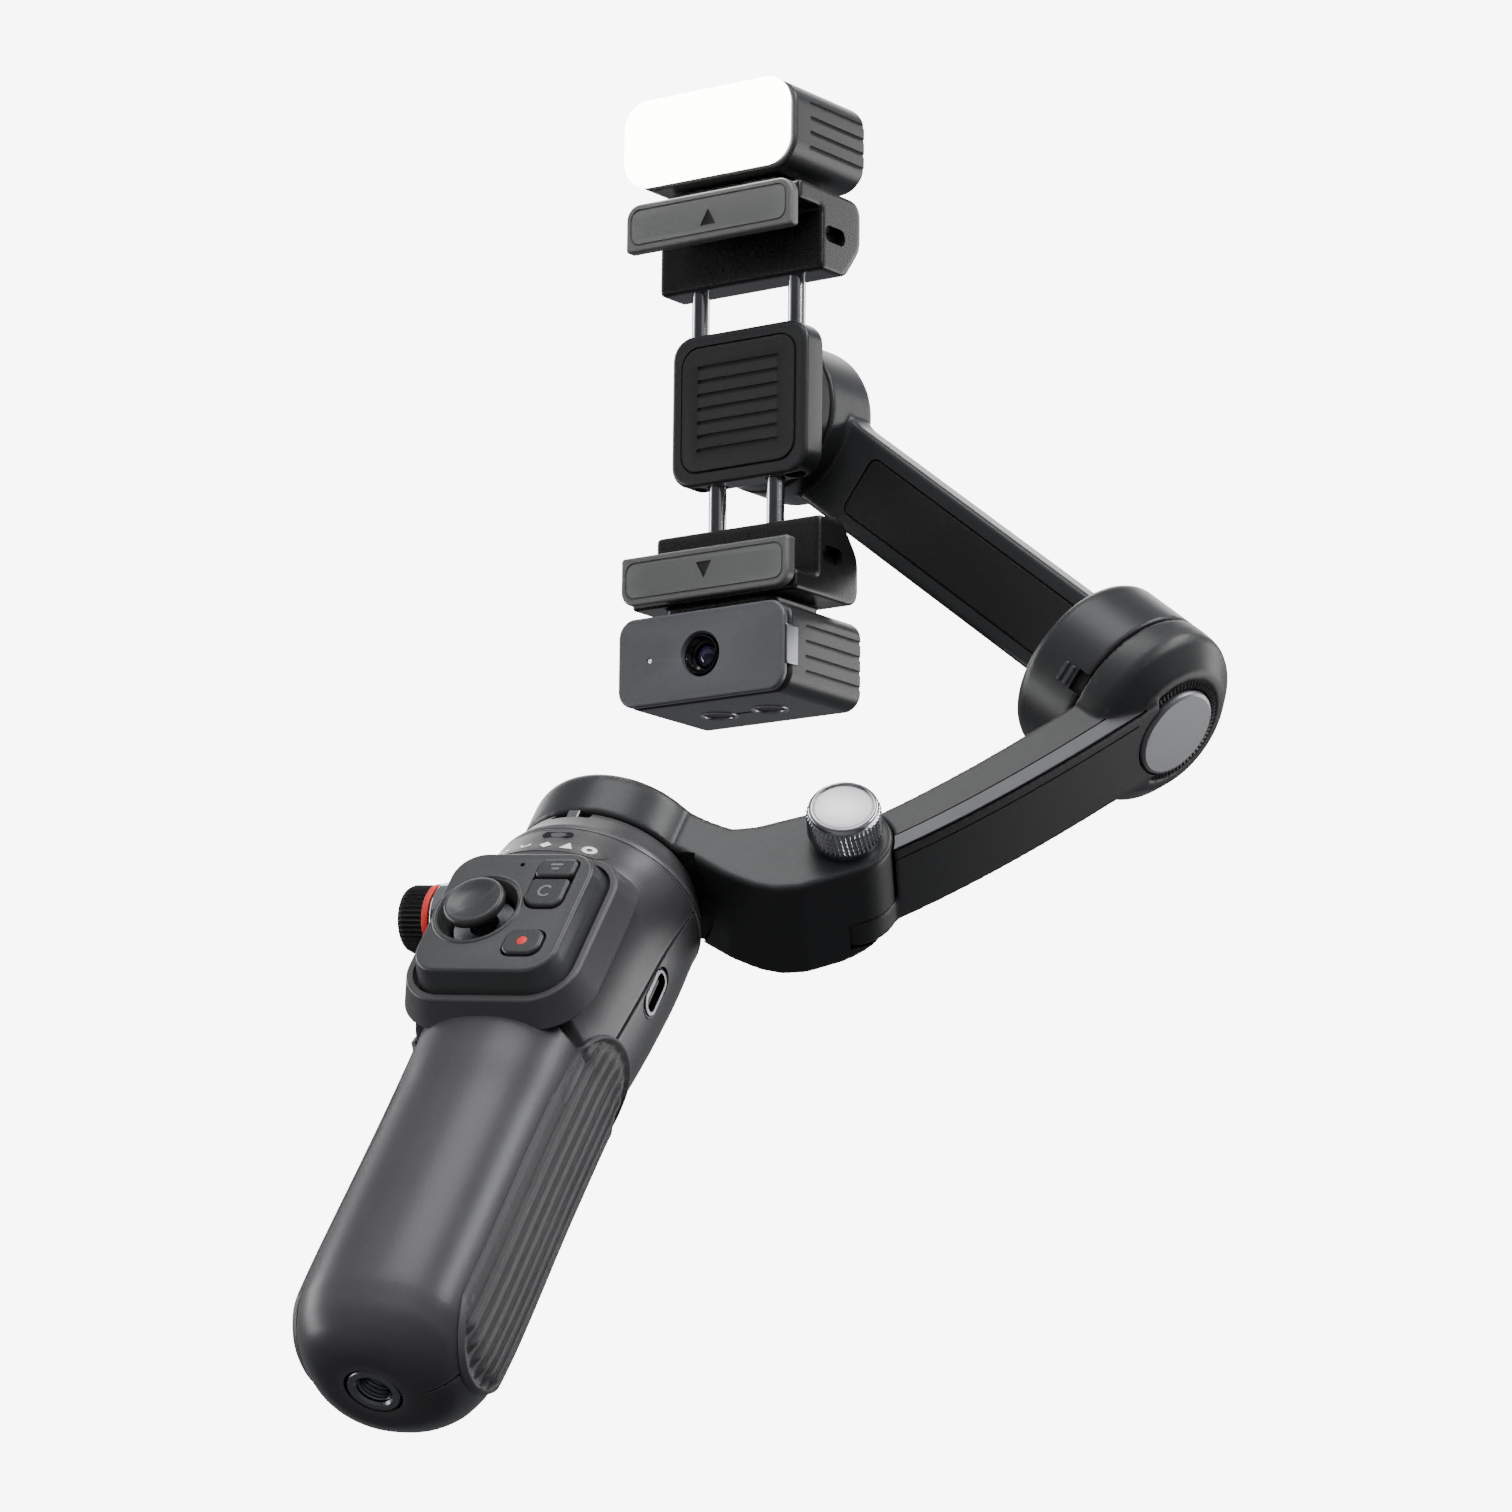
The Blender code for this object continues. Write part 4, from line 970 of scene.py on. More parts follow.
# ------------------------------------------------------------------ handle
@dataclass
class Handle(Assembly):
    """Grip with its shells, ribbed pads, collar and tripod bush."""

    body: ClassVar[str] = "handle"
    top: float = 125.4
    wall: float = 2.0
    seam: float = 0.5                # half the parting line's angle, degrees
    socket_radius: float = 5.8
    pad_width: float = 24.0
    pad_low: float = 5.0
    pad_high: float = 88.0
    pad_middle: float = 1.5
    ribs: int = 8
    neck_top: float = 133.2
    notch_turn: float = -3.0
    # height, half width, grip front, head front, back, roundness
    stations: tuple = ((0.0, 9.5, -9.5, -9.5, 9.5, 2.1), (1.2, 12.4, -12.6, -12.6, 12.6, 2.2),
                       (3.5, 15.0, -15.2, -15.2, 15.2, 2.3), (7.5, 17.2, -17.2, -17.2, 17.4, 2.4),
                       (13.0, 18.3, -18.2, -18.2, 18.6, 2.5), (24.0, 18.5, -18.4, -18.4, 19.0, 2.5),
                       (56.0, 18.2, -18.4, -18.4, 18.6, 2.5), (74.0, 18.3, -18.7, -23.0, 18.6, 2.5),
                       (82.0, 18.8, -19.0, -24.9, 19.0, 2.5), (89.0, 19.6, -19.4, -25.3, 19.6, 2.5),
                       (98.0, 20.4, -20.0, -25.6, 20.2, 2.5), (108.0, 21.0, -20.4, -25.6, 20.8, 2.45),
                       (115.0, 21.4, -20.8, -24.8, 21.3, 2.3), (120.5, 21.7, -21.2, -23.2, 21.6, 2.1),
                       (125.4, 21.8, -21.8, -21.8, 21.8, 2.0))
    arch_top: float = 83.6
    arch_drop: float = 5.2
    arch_rise: float = 2.4
    cover_lift: float = 0.4

    def station(self, height: float) -> list[float]:
        """Section values at a height, on a smooth curve through the stations.

        Args:
            height: Height above the base.

        Returns:
            Half width, grip front, head front, back and roundness.
        """
        rows = self.stations
        index = max(0, min(len(rows) - 2, sum(row[0] <= height for row in rows) - 1))
        before, low, high, after = (rows[max(0, min(len(rows) - 1, index + step))] for step in (-1, 0, 1, 2))
        span = high[0] - low[0]
        share = min(1.0, max(0.0, (height - low[0]) / span))
        values = []
        for item in range(1, 6):
            step = (high[item] - low[item]) / span
            first = (low[item] - before[item]) / (low[0] - before[0]) if low[0] > before[0] else step
            last = (after[item] - high[item]) / (after[0] - high[0]) if after[0] > high[0] else step
            start = 0.0 if first * step <= 0 else 2 / (1 / first + 1 / step)
            end = 0.0 if last * step <= 0 else 2 / (1 / last + 1 / step)
            if index == 0:
                start = step * 1.4
            square, cube = share ** 2, share ** 3
            values.append((2 * cube - 3 * square + 1) * low[item] + (cube - 2 * square + share) * span * start
                          + (3 * square - 2 * cube) * high[item] + (cube - square) * span * end)
        return values

    def front_at(self, x: float, height: float, grip: float, head: float) -> tuple[float, float]:
        """Front of the handle over the arch that closes the grip's cover.

        Args:
            x: Place across.
            height: Height above the base.
            grip: Front of the grip there.
            head: Front of the head there.

        Returns:
            The front's y, and how far the cover stands proud.
        """
        arch = self.arch_top - self.arch_drop * (x / 16) ** 2
        share = smoothstep(arch, arch + self.arch_rise, height)
        lift = self.cover_lift * (1 - smoothstep(arch - 0.5, arch, height)) * smoothstep(60, 70, height)
        return grip + (head - grip) * share, lift

    def point(self, turn: float, height: float, grow: float = 0.0) -> Vector:
        """Point of the outer skin.

        Args:
            turn: Direction round the handle, degrees, 270 at the front.
            height: Height above the base.
            grow: Distance outside the skin.

        Returns:
            The point.
        """
        half, grip, head, back, power = self.station(height)
        cosine, sine = math.cos(math.radians(turn)), math.sin(math.radians(turn))
        across = math.copysign(abs(cosine) ** (2 / power), cosine)
        along = math.copysign(abs(sine) ** (2 / power), sine)
        front, lift = self.front_at(half * across if sine < 0 else half, height, grip, head)
        grow += lift * min(1.0, -sine * 3) if sine < 0 else 0.0
        middle, depth = (front + back) / 2, (back - front) / 2
        return Vector(((half + grow) * across, middle + (depth + grow) * along, height))

    def section(self, height: float, x: float | None = None) -> tuple[float, float, float, float]:
        """Half width, middle, half depth and roundness of the skin.

        Args:
            height: Height above the base.
            x: Place across where the front is taken, or the side's.

        Returns:
            The four values.
        """
        half, grip, head, back, power = self.station(height)
        front, _ = self.front_at(half if x is None else x, height, grip, head)
        return half, (front + back) / 2, (back - front) / 2, power

    def side_point(self, side: int, y: float, height: float, grow: float) -> Vector:
        """Point of a side of the skin from its depth.

        Args:
            side: -1 for the left, 1 for the right.
            y: Depth.
            height: Height above the base.
            grow: Distance outside the skin.

        Returns:
            The point.
        """
        half, middle, depth, power = self.section(height)
        share = min(1.0, abs(y - middle) / (depth + grow))
        return Vector((side * (half + grow) * (1 - share ** power) ** (1 / power), y, height))

    def faced_point(self, facing: int, x: float, height: float, grow: float) -> Vector:
        """Point of the head's front or rear from its place across.

        Args:
            facing: -1 for the front, 1 for the rear.
            x: Place across.
            height: Height above the base.
            grow: Distance outside the skin.

        Returns:
            The point.
        """
        half, middle, depth, power = self.section(height, x if facing < 0 else None)
        share = min(1.0, abs(x) / (half + grow))
        return Vector((x, middle + facing * (depth + grow) * (1 - share ** power) ** (1 / power), height))

    def laid(self, form: Form, start: float, rise: float) -> Form:
        """Lay a flat form of unit thickness on the head's front.

        Args:
            form: The form, drawn with its height as y.
            start: Distance of its underside outside the skin.
            rise: Its thickness.

        Returns:
            The same form.
        """
        for vert in form.bm.verts:
            vert.co = self.faced_point(-1, vert.co.x, vert.co.y, start + rise * vert.co.z)
        bmesh.ops.recalc_face_normals(form.bm, faces=form.bm.faces)
        return form

    def shell_rows(self) -> list[float]:
        """Heights of the skin's rows, closer together where it turns; below 0 lies the bottom."""
        rows = [-2.0, -1.0, -0.5]
        for start, end, step in ((0.0, 12.0, 0.6), (12.0, 72.0, 2.4), (72.0, 90.0, 0.3),
                                 (90.0, self.top, 1.1)):
            count = round((end - start) / step)
            rows += [start + (end - start) * index / count for index in range(count)]
        return [*rows, self.top, self.top + 1]

    def shell_point(self, turn: float, level: float) -> Vector:
        """Point of a shell, with the bottom below level 0 and the rim above the top."""
        if level > self.top:
            rim = self.point(turn, self.top)
            return Vector((rim.x * 0.8, rim.y * 0.8, self.top))
        if level >= 0:
            return self.point(turn, level)
        rim = self.point(turn, 0.0)
        inner = Vector((rim.x, rim.y, 0)).normalized() * self.socket_radius
        share = -level if level > -1.5 else 1.0
        flat = rim.lerp(inner, min(1.0, share))
        return flat if level > -1.5 else Vector((inner.x, inner.y, 9.0))

    def openings(self) -> list[Form]:
        """Openings of the shells for the port, the panel and the trigger."""
        seats = self.seats
        reach = [(14.0, 91.8), (30.0, 91.8), (30.0, 118.0), (14.0, 118.0)]
        return [Form.slab(oblong(5.9, 11.8, 2.9), 15, 25).moved(self.port_seat),
                Form.slab(oblong(32.4, 33.9, 6.6, (0, 97.5)), 15, 30).moved(seats.front),
                Form.slab(reach, -7.25, 7.25).moved(seats.side)]

    def shells(self) -> None:
        """Front and rear shells, and black sheets behind their parting line that paint the shade in the seam.
        """
        for name, start in (("handle_front_shell", 180.0), ("handle_rear_shell", 0.0)):
            turns = [start + self.seam + (180 - 2 * self.seam) * step / 110 for step in range(111)]
            form = Form.sheet(turns, self.shell_rows(), self.shell_point, self.wall).combined(
                cuts=self.openings(), solver="MANIFOLD")
            self.add(name + "_skin", form, self.seats.handle, Skin.SHELL, name, 28.0)
        heights = [0.2 + (self.top - 0.4) * step / 60 for step in range(61)]
        # black sheets under the seam: painted shade of the parting gap
        for name, middle in (("seam_liner_right", 0.0), ("seam_liner_left", 180.0)):
            form = Form.sheet([middle + turn for turn in (-5, -3, -1, 1, 3, 5)], heights,
                              lambda turn, height: self.point(turn, height, -0.5), 0.9)
            self.add(name, form.combined(cuts=self.openings()), self.seats.handle, Skin.BLACK)

    def pads(self) -> None:
        """Ribbed rubber pads in the sides of the grip."""
        radius = self.pad_width / 2
        middle, reach = (self.pad_low + self.pad_high) / 2, (self.pad_high - self.pad_low) / 2
        samples = self.ribs * 20

        def surface(side: int, u: float, v: float) -> Vector:
            """Point of a pad for its two shares, -1 to 1."""
            length = reach - radius + math.sqrt(max(0.0, radius ** 2 - (u * radius) ** 2))
            height = middle + v * length
            inset = min((1 - abs(u)) * radius, (1 - abs(v)) * length)
            rim = 0.95 * smoothstep(0.0, 0.5, inset) * (1 - 0.85 * smoothstep(1.0, 1.9, inset))
            wave = 0.5 - 0.5 * math.cos(2 * math.pi * self.ribs * (u * 0.5 + 0.5))
            rib = 0.85 * smoothstep(0.3, 0.9, wave) * smoothstep(1.6, 4.5, inset)
            return self.side_point(side, self.pad_middle + u * radius, height, 0.1 + max(rim, 0.12 + rib))

        us = [math.sin(math.pi / 2 * (2 * step / samples - 1)) * 0.15 + 0.85 * (2 * step / samples - 1)
              for step in range(samples + 1)]
        vs = [math.sin(math.pi / 2 * (step / 50 - 1)) * 0.3 + 0.7 * (step / 50 - 1) for step in range(101)]
        for side, name in ((-1, "left_grip_pad"), (1, "right_grip_pad")):
            form = Form.sheet(us, vs, lambda u, v, s=side: surface(s, u, v), side * 0.6)
            self.add(name + "_ribbed", form, self.seats.handle, Skin.GRIP, name, 60.0)

    def collar(self) -> None:
        """Neck collar with its alignment notch, the tab in it and the step line under it; the notch's black
        floor is painted shade.
        """
        seats = self.seats
        profile = [(16.2, self.neck_top), (18.2, self.neck_top), (18.7, 132.8), (19.5, 131.0), (20.4, 128.9),
                   (21.2, 127.4), (21.6, 126.6), (21.65, self.top + 0.35), (16.2, self.top + 0.35)]
        turn = Matrix.Rotation(math.radians(self.notch_turn), 4, "Z")
        relative = seats.handle.inverted() @ turn @ seats.front
        notch = Form.slab(rounded([(-4.4, 131.0), (4.4, 131.0), (3.0, 140.0), (-3.0, 140.0)], 0.4, 3), 17.2,
                          30)
        form = Form.turned(profile, 160, ring=True).combined(cuts=[notch.moved(relative)])
        self.add("collar_ring", form, seats.handle, Skin.SHELL, "neck_collar")
        tab = Form.slab(oblong(2.6, 2.2, 0.3, (0.3, 132.2)), 17.0, 19.2, 0.25)
        self.add("alignment_tab", tab, turn @ seats.front, Skin.SILVER, "pan_lock_tab")
        # black floor of the notch: painted shade
        floor = Form.turned([(16.3, 133.0), (17.5, 133.0), (17.5, 130.8), (16.3, 130.8)], 96, ring=True)
        self.add("notch_floor", floor, seats.handle, Skin.BLACK)
        bead = [(21.0, self.top + 0.2), (21.9, self.top - 0.1), (22.0, self.top - 0.6),
                (21.7, self.top - 1.1), (21.0, self.top - 1.0)]
        self.add("shell_rim_bead", Form.turned(bead, 160, 0.12, ring=True), seats.handle, Skin.SHELL,
                 crease=60.0)

    def base(self) -> None:
        """Tripod bush with a threaded bore."""
        profile = [(5.45, 11.0), (5.45, 0.5), (5.1, 0.0), (3.9, 0.0), (3.45, 0.45), (3.45, 1.0)]
        for turn in range(9):
            level = 1.2 + turn * 0.9
            profile += [(3.2, level), (3.5, level + 0.45)]
        profile += [(3.2, 9.6), (0.0, 9.6), (0.0, 11.0)]
        self.add("tripod_bush", Form.turned(profile, 72), self.seats.handle, Skin.STEEL, "tripod_insert",
                 20.0)

    @property
    def port_seat(self) -> Matrix:
        """Seat of the charging port."""
        return self.seats.side @ Matrix.Translation((1.0, 103.5, 0))

    def port(self) -> None:
        """Charging port: a steel sleeve round a black tongue."""
        at = self.port_seat
        sleeve = Form.slab(oblong(4.9, 10.8, 2.4), 15.3, 20.75, 0.2).combined(
            cuts=[Form.slab(oblong(3.3, 9.1, 1.6), 16.5, 25)])
        self.add("port_sleeve", sleeve, at, Skin.STEEL, "usb_port")
        self.add("port_well", Form.slab(oblong(3.6, 9.4, 1.75), 16.0, 17.4), at, Skin.PIANO)
        self.add("port_tongue", Form.slab(oblong(0.8, 6.8, 0.3), 17.0, 20.0, 0.1), at, Skin.BLACK)
        # black ring in the gap round the sleeve: painted shade
        moat = Form.slab(oblong(6.0, 11.9, 2.95), 18.0, 20.42, 0.1).combined(
            cuts=[Form.slab(oblong(4.95, 10.85, 2.42), 10, 25)])
        self.add("port_moat", moat, at, Skin.BLACK)

    def trigger(self) -> None:
        """Rear trigger with a finger hollow, and a black frame round it that paints the shade of the gap."""
        outline = rounded([(16.4, 117.4, 1.2), (16.6, 108.0, 4.0), (19.0, 94.0, 0.6), (22.2, 92.6, 1.0),
                           (25.0, 97.0, 3.0), (24.0, 108.0, 6.0), (21.9, 117.4, 1.0)], 1.0, 6)
        form = Form.slab(outline, -6.9, 6.9, 1.1, 4)
        self.add("trigger_lever", form, self.seats.side, Skin.KEY, "trigger", body="trigger")
        # black frame round the opening: painted shade of the gap
        frame = Form.sheet([x / 10 for x in range(-84, 85, 4)], [90.8 + step * 0.7 for step in range(41)],
                           lambda x, z: self.faced_point(1, x, z, 0.12), -0.3).combined(cuts=self.openings())
        self.add("trigger_surround", frame, self.seats.handle, Skin.BLACK)

    def indicators(self) -> None:
        """Status strip over the panel: its lens, five marks and the sensor window above it."""
        seats = self.seats
        across = [-12.5 + 25 * step / 60 for step in range(61)]

        def lens(x: float, v: float) -> Vector:
            """Point of the lens for its place across and its share of the height."""
            end = max(0.0, 1 - max(0.0, abs(x) - 10.3) ** 2 / 2.2 ** 2)
            return self.faced_point(-1, x, 118.8 + 2.2 * v * math.sqrt(end), 0.12)

        self.add("status_lens", Form.sheet(across, [v / 6 for v in range(-6, 7)], lens, 0.5), seats.handle,
                 Skin.PANEL, "indicator_lens")
        marks = {
            "mark_bar": [(-11.0, 118.0), (-8.2, 118.0), (-8.2, 119.0), (-11.0, 119.0)],
            "mark_arc": arc((-4.6, 119.4), 1.25, 180, 360, 12) + arc((-4.6, 119.4), 0.75, 360, 180, 12),
            "mark_diamond": [(-1.3, 118.8), (0.0, 117.7), (1.3, 118.8), (0.0, 119.9)],
            "mark_triangle": [(3.3, 117.9), (5.9, 117.9), (4.6, 120.1)],
            "mark_ring": arc((8.9, 118.9), 1.35, 0, 358, 28),
        }
        for name, outline in marks.items():
            flat = Form.slab(outline, 0.0, 1.0)
            if name == "mark_ring":
                flat = flat.combined(cuts=[Form.slab(arc((8.9, 118.9), 0.6, 0, 358, 20), -1, 2)])
            self.add(name, self.laid(flat, 0.08, 0.12), seats.handle, Skin.WHITE)
        window = Form.slab(oblong(6.6, 1.9, 0.95, (0.6, 123.0)), 0.0, 1.0)
        self.add("sensor_window", self.laid(window, 0.0, 0.15), seats.handle, Skin.PIANO)

    def build(self) -> None:
        """Build the handle."""
        self.shells()
        self.pads()
        self.collar()
        self.base()
        self.port()
        self.trigger()
        self.indicators()
        self.shop.dress({"battery": Skin.WRAP, "main_board": Skin.BOARD, "pan_stator": Skin.COPPER})


# ------------------------------------------------------------------ control panel
@dataclass
class ControlPanel(Assembly):
    """Raised panel with the joystick, the keys and the zoom dial beside it."""

    body: ClassVar[str] = "handle"
    width: float = 30.0
    height: float = 31.5
    face: float = 27.0
    middle: float = 97.5
    depth: float = 7.6
    flare: float = 1.6
    corner: float = 6.0
    stick: Point = (-5.8, 0.5)
    key_x: float = 7.4

    @property
    def at(self) -> Matrix:
        """Seat on the panel's face."""
        return self.seats.front @ Matrix.Translation((0, self.middle, self.face))

    def block(self) -> None:
        """Panel block, flared towards its foot, in a raised surround."""
        form = Form.slab(oblong(self.width, self.height, self.corner), -self.depth, 0)
        foot = [vert for vert in form.bm.verts if vert.co.z < -1]
        spread = (1 + 2 * self.flare / self.width, 1 + 2 * self.flare / self.height, 1)
        bmesh.ops.scale(form.bm, verts=foot, vec=spread)
        form.rounding(0.6, 4, 30.0, lambda middle: middle.z > -1)
        stick = Matrix.Translation((*self.stick, 0))
        well = [(0, 3), (8.5, 3), (8.2, 0), (7.8, -0.9), (7.4, -2.4), (6.9, -3.3), (6.9, -12), (0, -12)]
        key_window = rounded([(3.0, 0.6, 3.4), (11.9, 0.6, 2.4), (11.9, 13.9), (3.0, 13.9)], 1.6)
        cuts = [Form.turned(well, 96).moved(stick),
                Form.slab(key_window, -12, 3),
                Form.slab(oblong(8.8, 7.2, 2.6, (self.key_x, -8.5)), -12, 3),
                Form.drum(0.5, -1.5, 2, 24).shifted(-0.6, 12.6)]
        self.add("panel_block", form.combined(cuts=cuts), self.at, Skin.PANEL, "control_panel")
        ring = [(8.35, 0.02), (8.5, 0.24), (8.85, 0.3), (9.2, 0.2), (9.35, -0.1), (8.4, -0.5)]
        self.add("stick_well_ring", Form.turned(ring, 128, ring=True), self.at @ stick, Skin.KEY,
                 crease=60.0, slot="gloss_black")
        # black floor of the stick well: painted shade
        floor = Form.drum(6.9, -10.4, -9.6, 64)
        self.add("stick_well_floor", floor, self.at @ stick, Skin.BLACK)
        grow = 2 * (self.flare + 0.45)
        rim = Form.slab(oblong(self.width + grow + 3.0, self.height + grow + 3.0, self.corner + 3.4), -11,
                        -4.7, 0.55, 3)
        foot = [vert for vert in rim.bm.verts if vert.co.z < -9]
        bmesh.ops.scale(rim.bm, verts=foot, vec=(1.1, 1.1, 1))
        pocket = Form.slab(oblong(self.width + grow, self.height + grow, self.corner + 1.9), -7.5, 5)
        bores = [Form.drum(6.95, -10.0, 3, 64).moved(stick) for _ in range(2)]
        self.add("panel_surround", rim.combined(cuts=[pocket, bores[0]]), self.at, Skin.SHELL)
        # black slab in the pocket round the block: painted shade of the gap
        gap = Form.slab(oblong(self.width + grow - 0.2, self.height + grow - 0.2, self.corner + 1.8), -7.6,
                        -6.9)
        self.add("panel_gap", gap.combined(cuts=[bores[1]]), self.at, Skin.BLACK)

    def keys(self) -> None:
        """Two mode keys and the record key."""
        low, high = -4.6, 0.75
        outlines = {
            "upper_key": rounded([(3.35, 8.9), (11.55, 8.9), (11.55, 13.55), (3.35, 13.55)], 1.3),
            "lower_key": rounded([(3.35, 0.95, 3.2), (11.55, 0.95, 2.2), (11.55, 8.3), (3.35, 8.3)], 1.0),
            "record_key": oblong(8.1, 6.5, 2.5, (self.key_x, -8.5)),
        }
        for name, outline in outlines.items():
            self.add(name + "_top", Form.slab(outline, low, high, 0.6, 4), self.at, Skin.KEY, name, body=name)
        top = high - 0.02
        signs = {
            "key_sign_bars": ("upper_key", Form.slab(oblong(2.6, 0.5, 0.2, (7.4, 11.9)), top, top + 0.08)),
            "key_sign_bar": ("upper_key", Form.slab(oblong(1.6, 0.5, 0.2, (7.4, 10.8)), top, top + 0.08)),
            "key_sign_turn": ("lower_key", Form.slab(arc((7.4, 4.8), 1.5, 40, 320, 24)
                                                     + arc((7.4, 4.8), 1.05, 320, 40, 24), top, top + 0.08)),
        }
        for name, (body, form) in signs.items():
            self.add(name, form, self.at, Skin.LIP, body=body)
        dot = Form.turned([(0, top + 0.12), (0.9, top + 0.1), (1.1, top), (0, top)],
                          40).shifted(self.key_x, -8.5)
        self.add("record_dot", dot, self.at, Skin.RED, body="record_key")

    def joystick(self) -> None:
        """Thumb stick with a hollow top, on its gimbal ring."""
        at = self.at @ Matrix.Translation((*self.stick, 0))
        profile = [(0, 1.85), (2.2, 1.9), (4.0, 2.15), (5.0, 2.62), (5.5, 2.75), (5.9, 2.62), (6.2, 2.1),
                   (6.25, 1.4), (6.0, 0.8), (5.2, 0.35), (2.4, 0.1), (1.9, -0.3), (1.9, -3.4), (2.6, -4.3),
                   (2.6, -5.7), (1.6, -6.8), (0, -6.9)]
        cap = Form.turned(profile, 108).fluted(54, 0.12, 6.05)
        self.add("thumb_stick", cap, at, Skin.KEY, "stick_cap", 50.0, body="stick")
        self.shop.dress({"stick_ring": Skin.STEEL})

    def dial(self) -> None:
        """Zoom dial: bright bezel, red band and knurled wheel."""
        at = self.seats.wheel
        bezel = Form.turned([(2.9, -17.4), (7.3, -17.4), (7.3, -22.6), (6.9, -23.0), (2.9, -23.0)], 96,
                            0.15, ring=True)
        self.add("dial_bezel", bezel, at, Skin.CHROME, "wheel_bezel")
        profile = [(0, -16.0), (2.5, -16.0), (2.5, -23.3), (6.4, -23.3), (6.7, -23.8)]
        profile += [(6.75, -24.8 - 0.5 * step) for step in range(10)]
        profile += [(6.3, -30.2), (5.6, -30.5), (4.8, -30.5), (4.3, -30.1), (0, -30.0)]
        wheel = Form.turned(profile, 252).fluted(42, 0.42, 6.72)
        self.add("dial_wheel", wheel, at, Skin.BLACK, "zoom_wheel", 40.0, body="zoom_wheel",
                 slot="dark_plastic")
        band = Form.turned([(6.0, -23.35), (6.85, -23.45), (6.95, -23.7), (6.95, -24.5), (6.85, -24.7),
                            (6.0, -24.8)], 128, ring=True)
        self.add("dial_red_band", band, at, Skin.RED, crease=50.0, body="zoom_wheel")

    def build(self) -> None:
        """Build the panel."""
        self.block()
        self.keys()
        self.joystick()
        self.dial()


# ------------------------------------------------------------------ pan arm
@dataclass
class PanArm(Assembly):
    """Pan motor bell and the fork that carries the folding hinge."""

    body: ClassVar[str] = "pan_arm"
    low: float = 133.5
    top: float = 145.5
    radius: float = 18.9
    hinge: Point = (46.3, 144.5)
    hinge_radius: float = 9.2
    half_depth: float = 12.4
    slot: Point = (-9.4, -2.2)

    def arm(self) -> None:
        """Bell and fork in one moulding."""
        seats = self.seats
        x, z = self.hinge
        outline = [(0, 134.6), (13, 134.4), (19, 132.2), (26, 129.4), (32, 128.0), (37, 128.0), (41.5, 129.6)]
        outline += arc(self.hinge, self.hinge_radius, -58, 62, 24)
        outline += [(x - 1.5, z + 8.6), (x - 6, z + 7.0), (x - 12, z + 3.2), (x - 18, z - 0.8),
                    (x - 22.5, z - 2.6), (x - 27, z - 1.8), (x - 31.5, z - 0.4), (0, z + 0.2)]
        reach, half = x + self.hinge_radius, self.half_depth
        plan = rounded([(-2, -half), (reach + 1, -half, 0.1), (reach + 1, half, 10.5), (-2, half)], 0.1, 16)
        upright = seats.arm.inverted() @ seats.pan
        block = Form.slab(outline, -half, half).combined(keep=[Form.slab(plan, 110, 170).moved(upright)])
        bell = Form.turned([(0, self.top), (15.2, self.top), (17.9, 144.9), (18.6, 144.0),
                            (self.radius, 142.6), (self.radius, self.low), (0, self.low)],
                           160).moved(upright)
        core = block.combined(joins=[bell]).softened(0.42, 14)
        at = seats.arm.inverted() @ seats.hinge
        low, high = self.slot
        form = core.combined(cuts=[
            Form.drum(16.6, 120, 141.5, 64).moved(upright),
            Form.drum(22.6, 120, self.low - 0.02, 128).moved(upright),
            Form.drum(self.hinge_radius + 0.6, low, high, 96).moved(at)])
        self.add("pan_arm_moulding", form, seats.arm, Skin.ARM, "pan_arm_shell", 38.0)
        cap = [(0, self.top + 1.15), (9.8, self.top + 1.1), (10.8, self.top + 0.9), (11.4, self.top + 0.3),
               (11.4, self.top - 0.6), (0, self.top - 0.6)]
        self.add("pan_cap_disc", Form.turned(cap, 128), seats.pan, Skin.KEY, "pan_cap", 45.0)
        pin = Form.turned([(0, -10.9), (2.6, -10.9), (3.0, -10.5), (3.0, 11.4), (0, 11.4)], 48)
        self.add("hinge_pin_turned", pin, seats.hinge, Skin.STEEL, "hinge_pin")
        screw = Form.turned([(0, -12.2), (2.3, -12.2), (2.6, -12.5), (4.6, -12.7), (4.9, -12.4), (4.9, -11.6),
                             (0, -11.6)], 64)
        self.add("hinge_screw_cover", screw, seats.hinge, Skin.BLACK, slot="dark_plastic")
        self.shop.dress({"pan_shaft": Skin.STEEL})

    def knob(self) -> None:
        """Knurled locking knob with a pale cap."""
        at = self.seats.hinge
        profile = [(0, 20.3), (6.7, 20.3), (7.15, 19.95)]
        profile += [(7.4, 19.7 - 0.42 * step) for step in range(13)]
        profile += [(7.0, 14.3), (6.5, 13.9), (6.5, 12.5), (0, 12.5)]
        knob = Form.turned(profile, 288).fluted(48, 0.5, 7.3, 0.02)
        self.add("knob_knurled", knob, at, Skin.CHROME, "knob", 40.0, body="knob")
        rim = Form.turned([(5.9, 20.2), (5.9, 21.0), (6.15, 21.25), (6.6, 21.2), (6.95, 20.8),
                           (6.95, 20.2)], 128, ring=True)
        self.add("knob_rim", rim, at, Skin.CHROME, crease=50.0, body="knob")
        cap = Form.turned([(0, 21.15), (5.4, 21.12), (5.85, 20.95), (5.85, 20.2), (0, 20.2)], 128)
        self.add("knob_cap_disc", cap, at, Skin.CAP, "knob_cap", body="knob")

    def build(self) -> None:
        """Build the pan arm."""
        self.arm()
        self.knob()


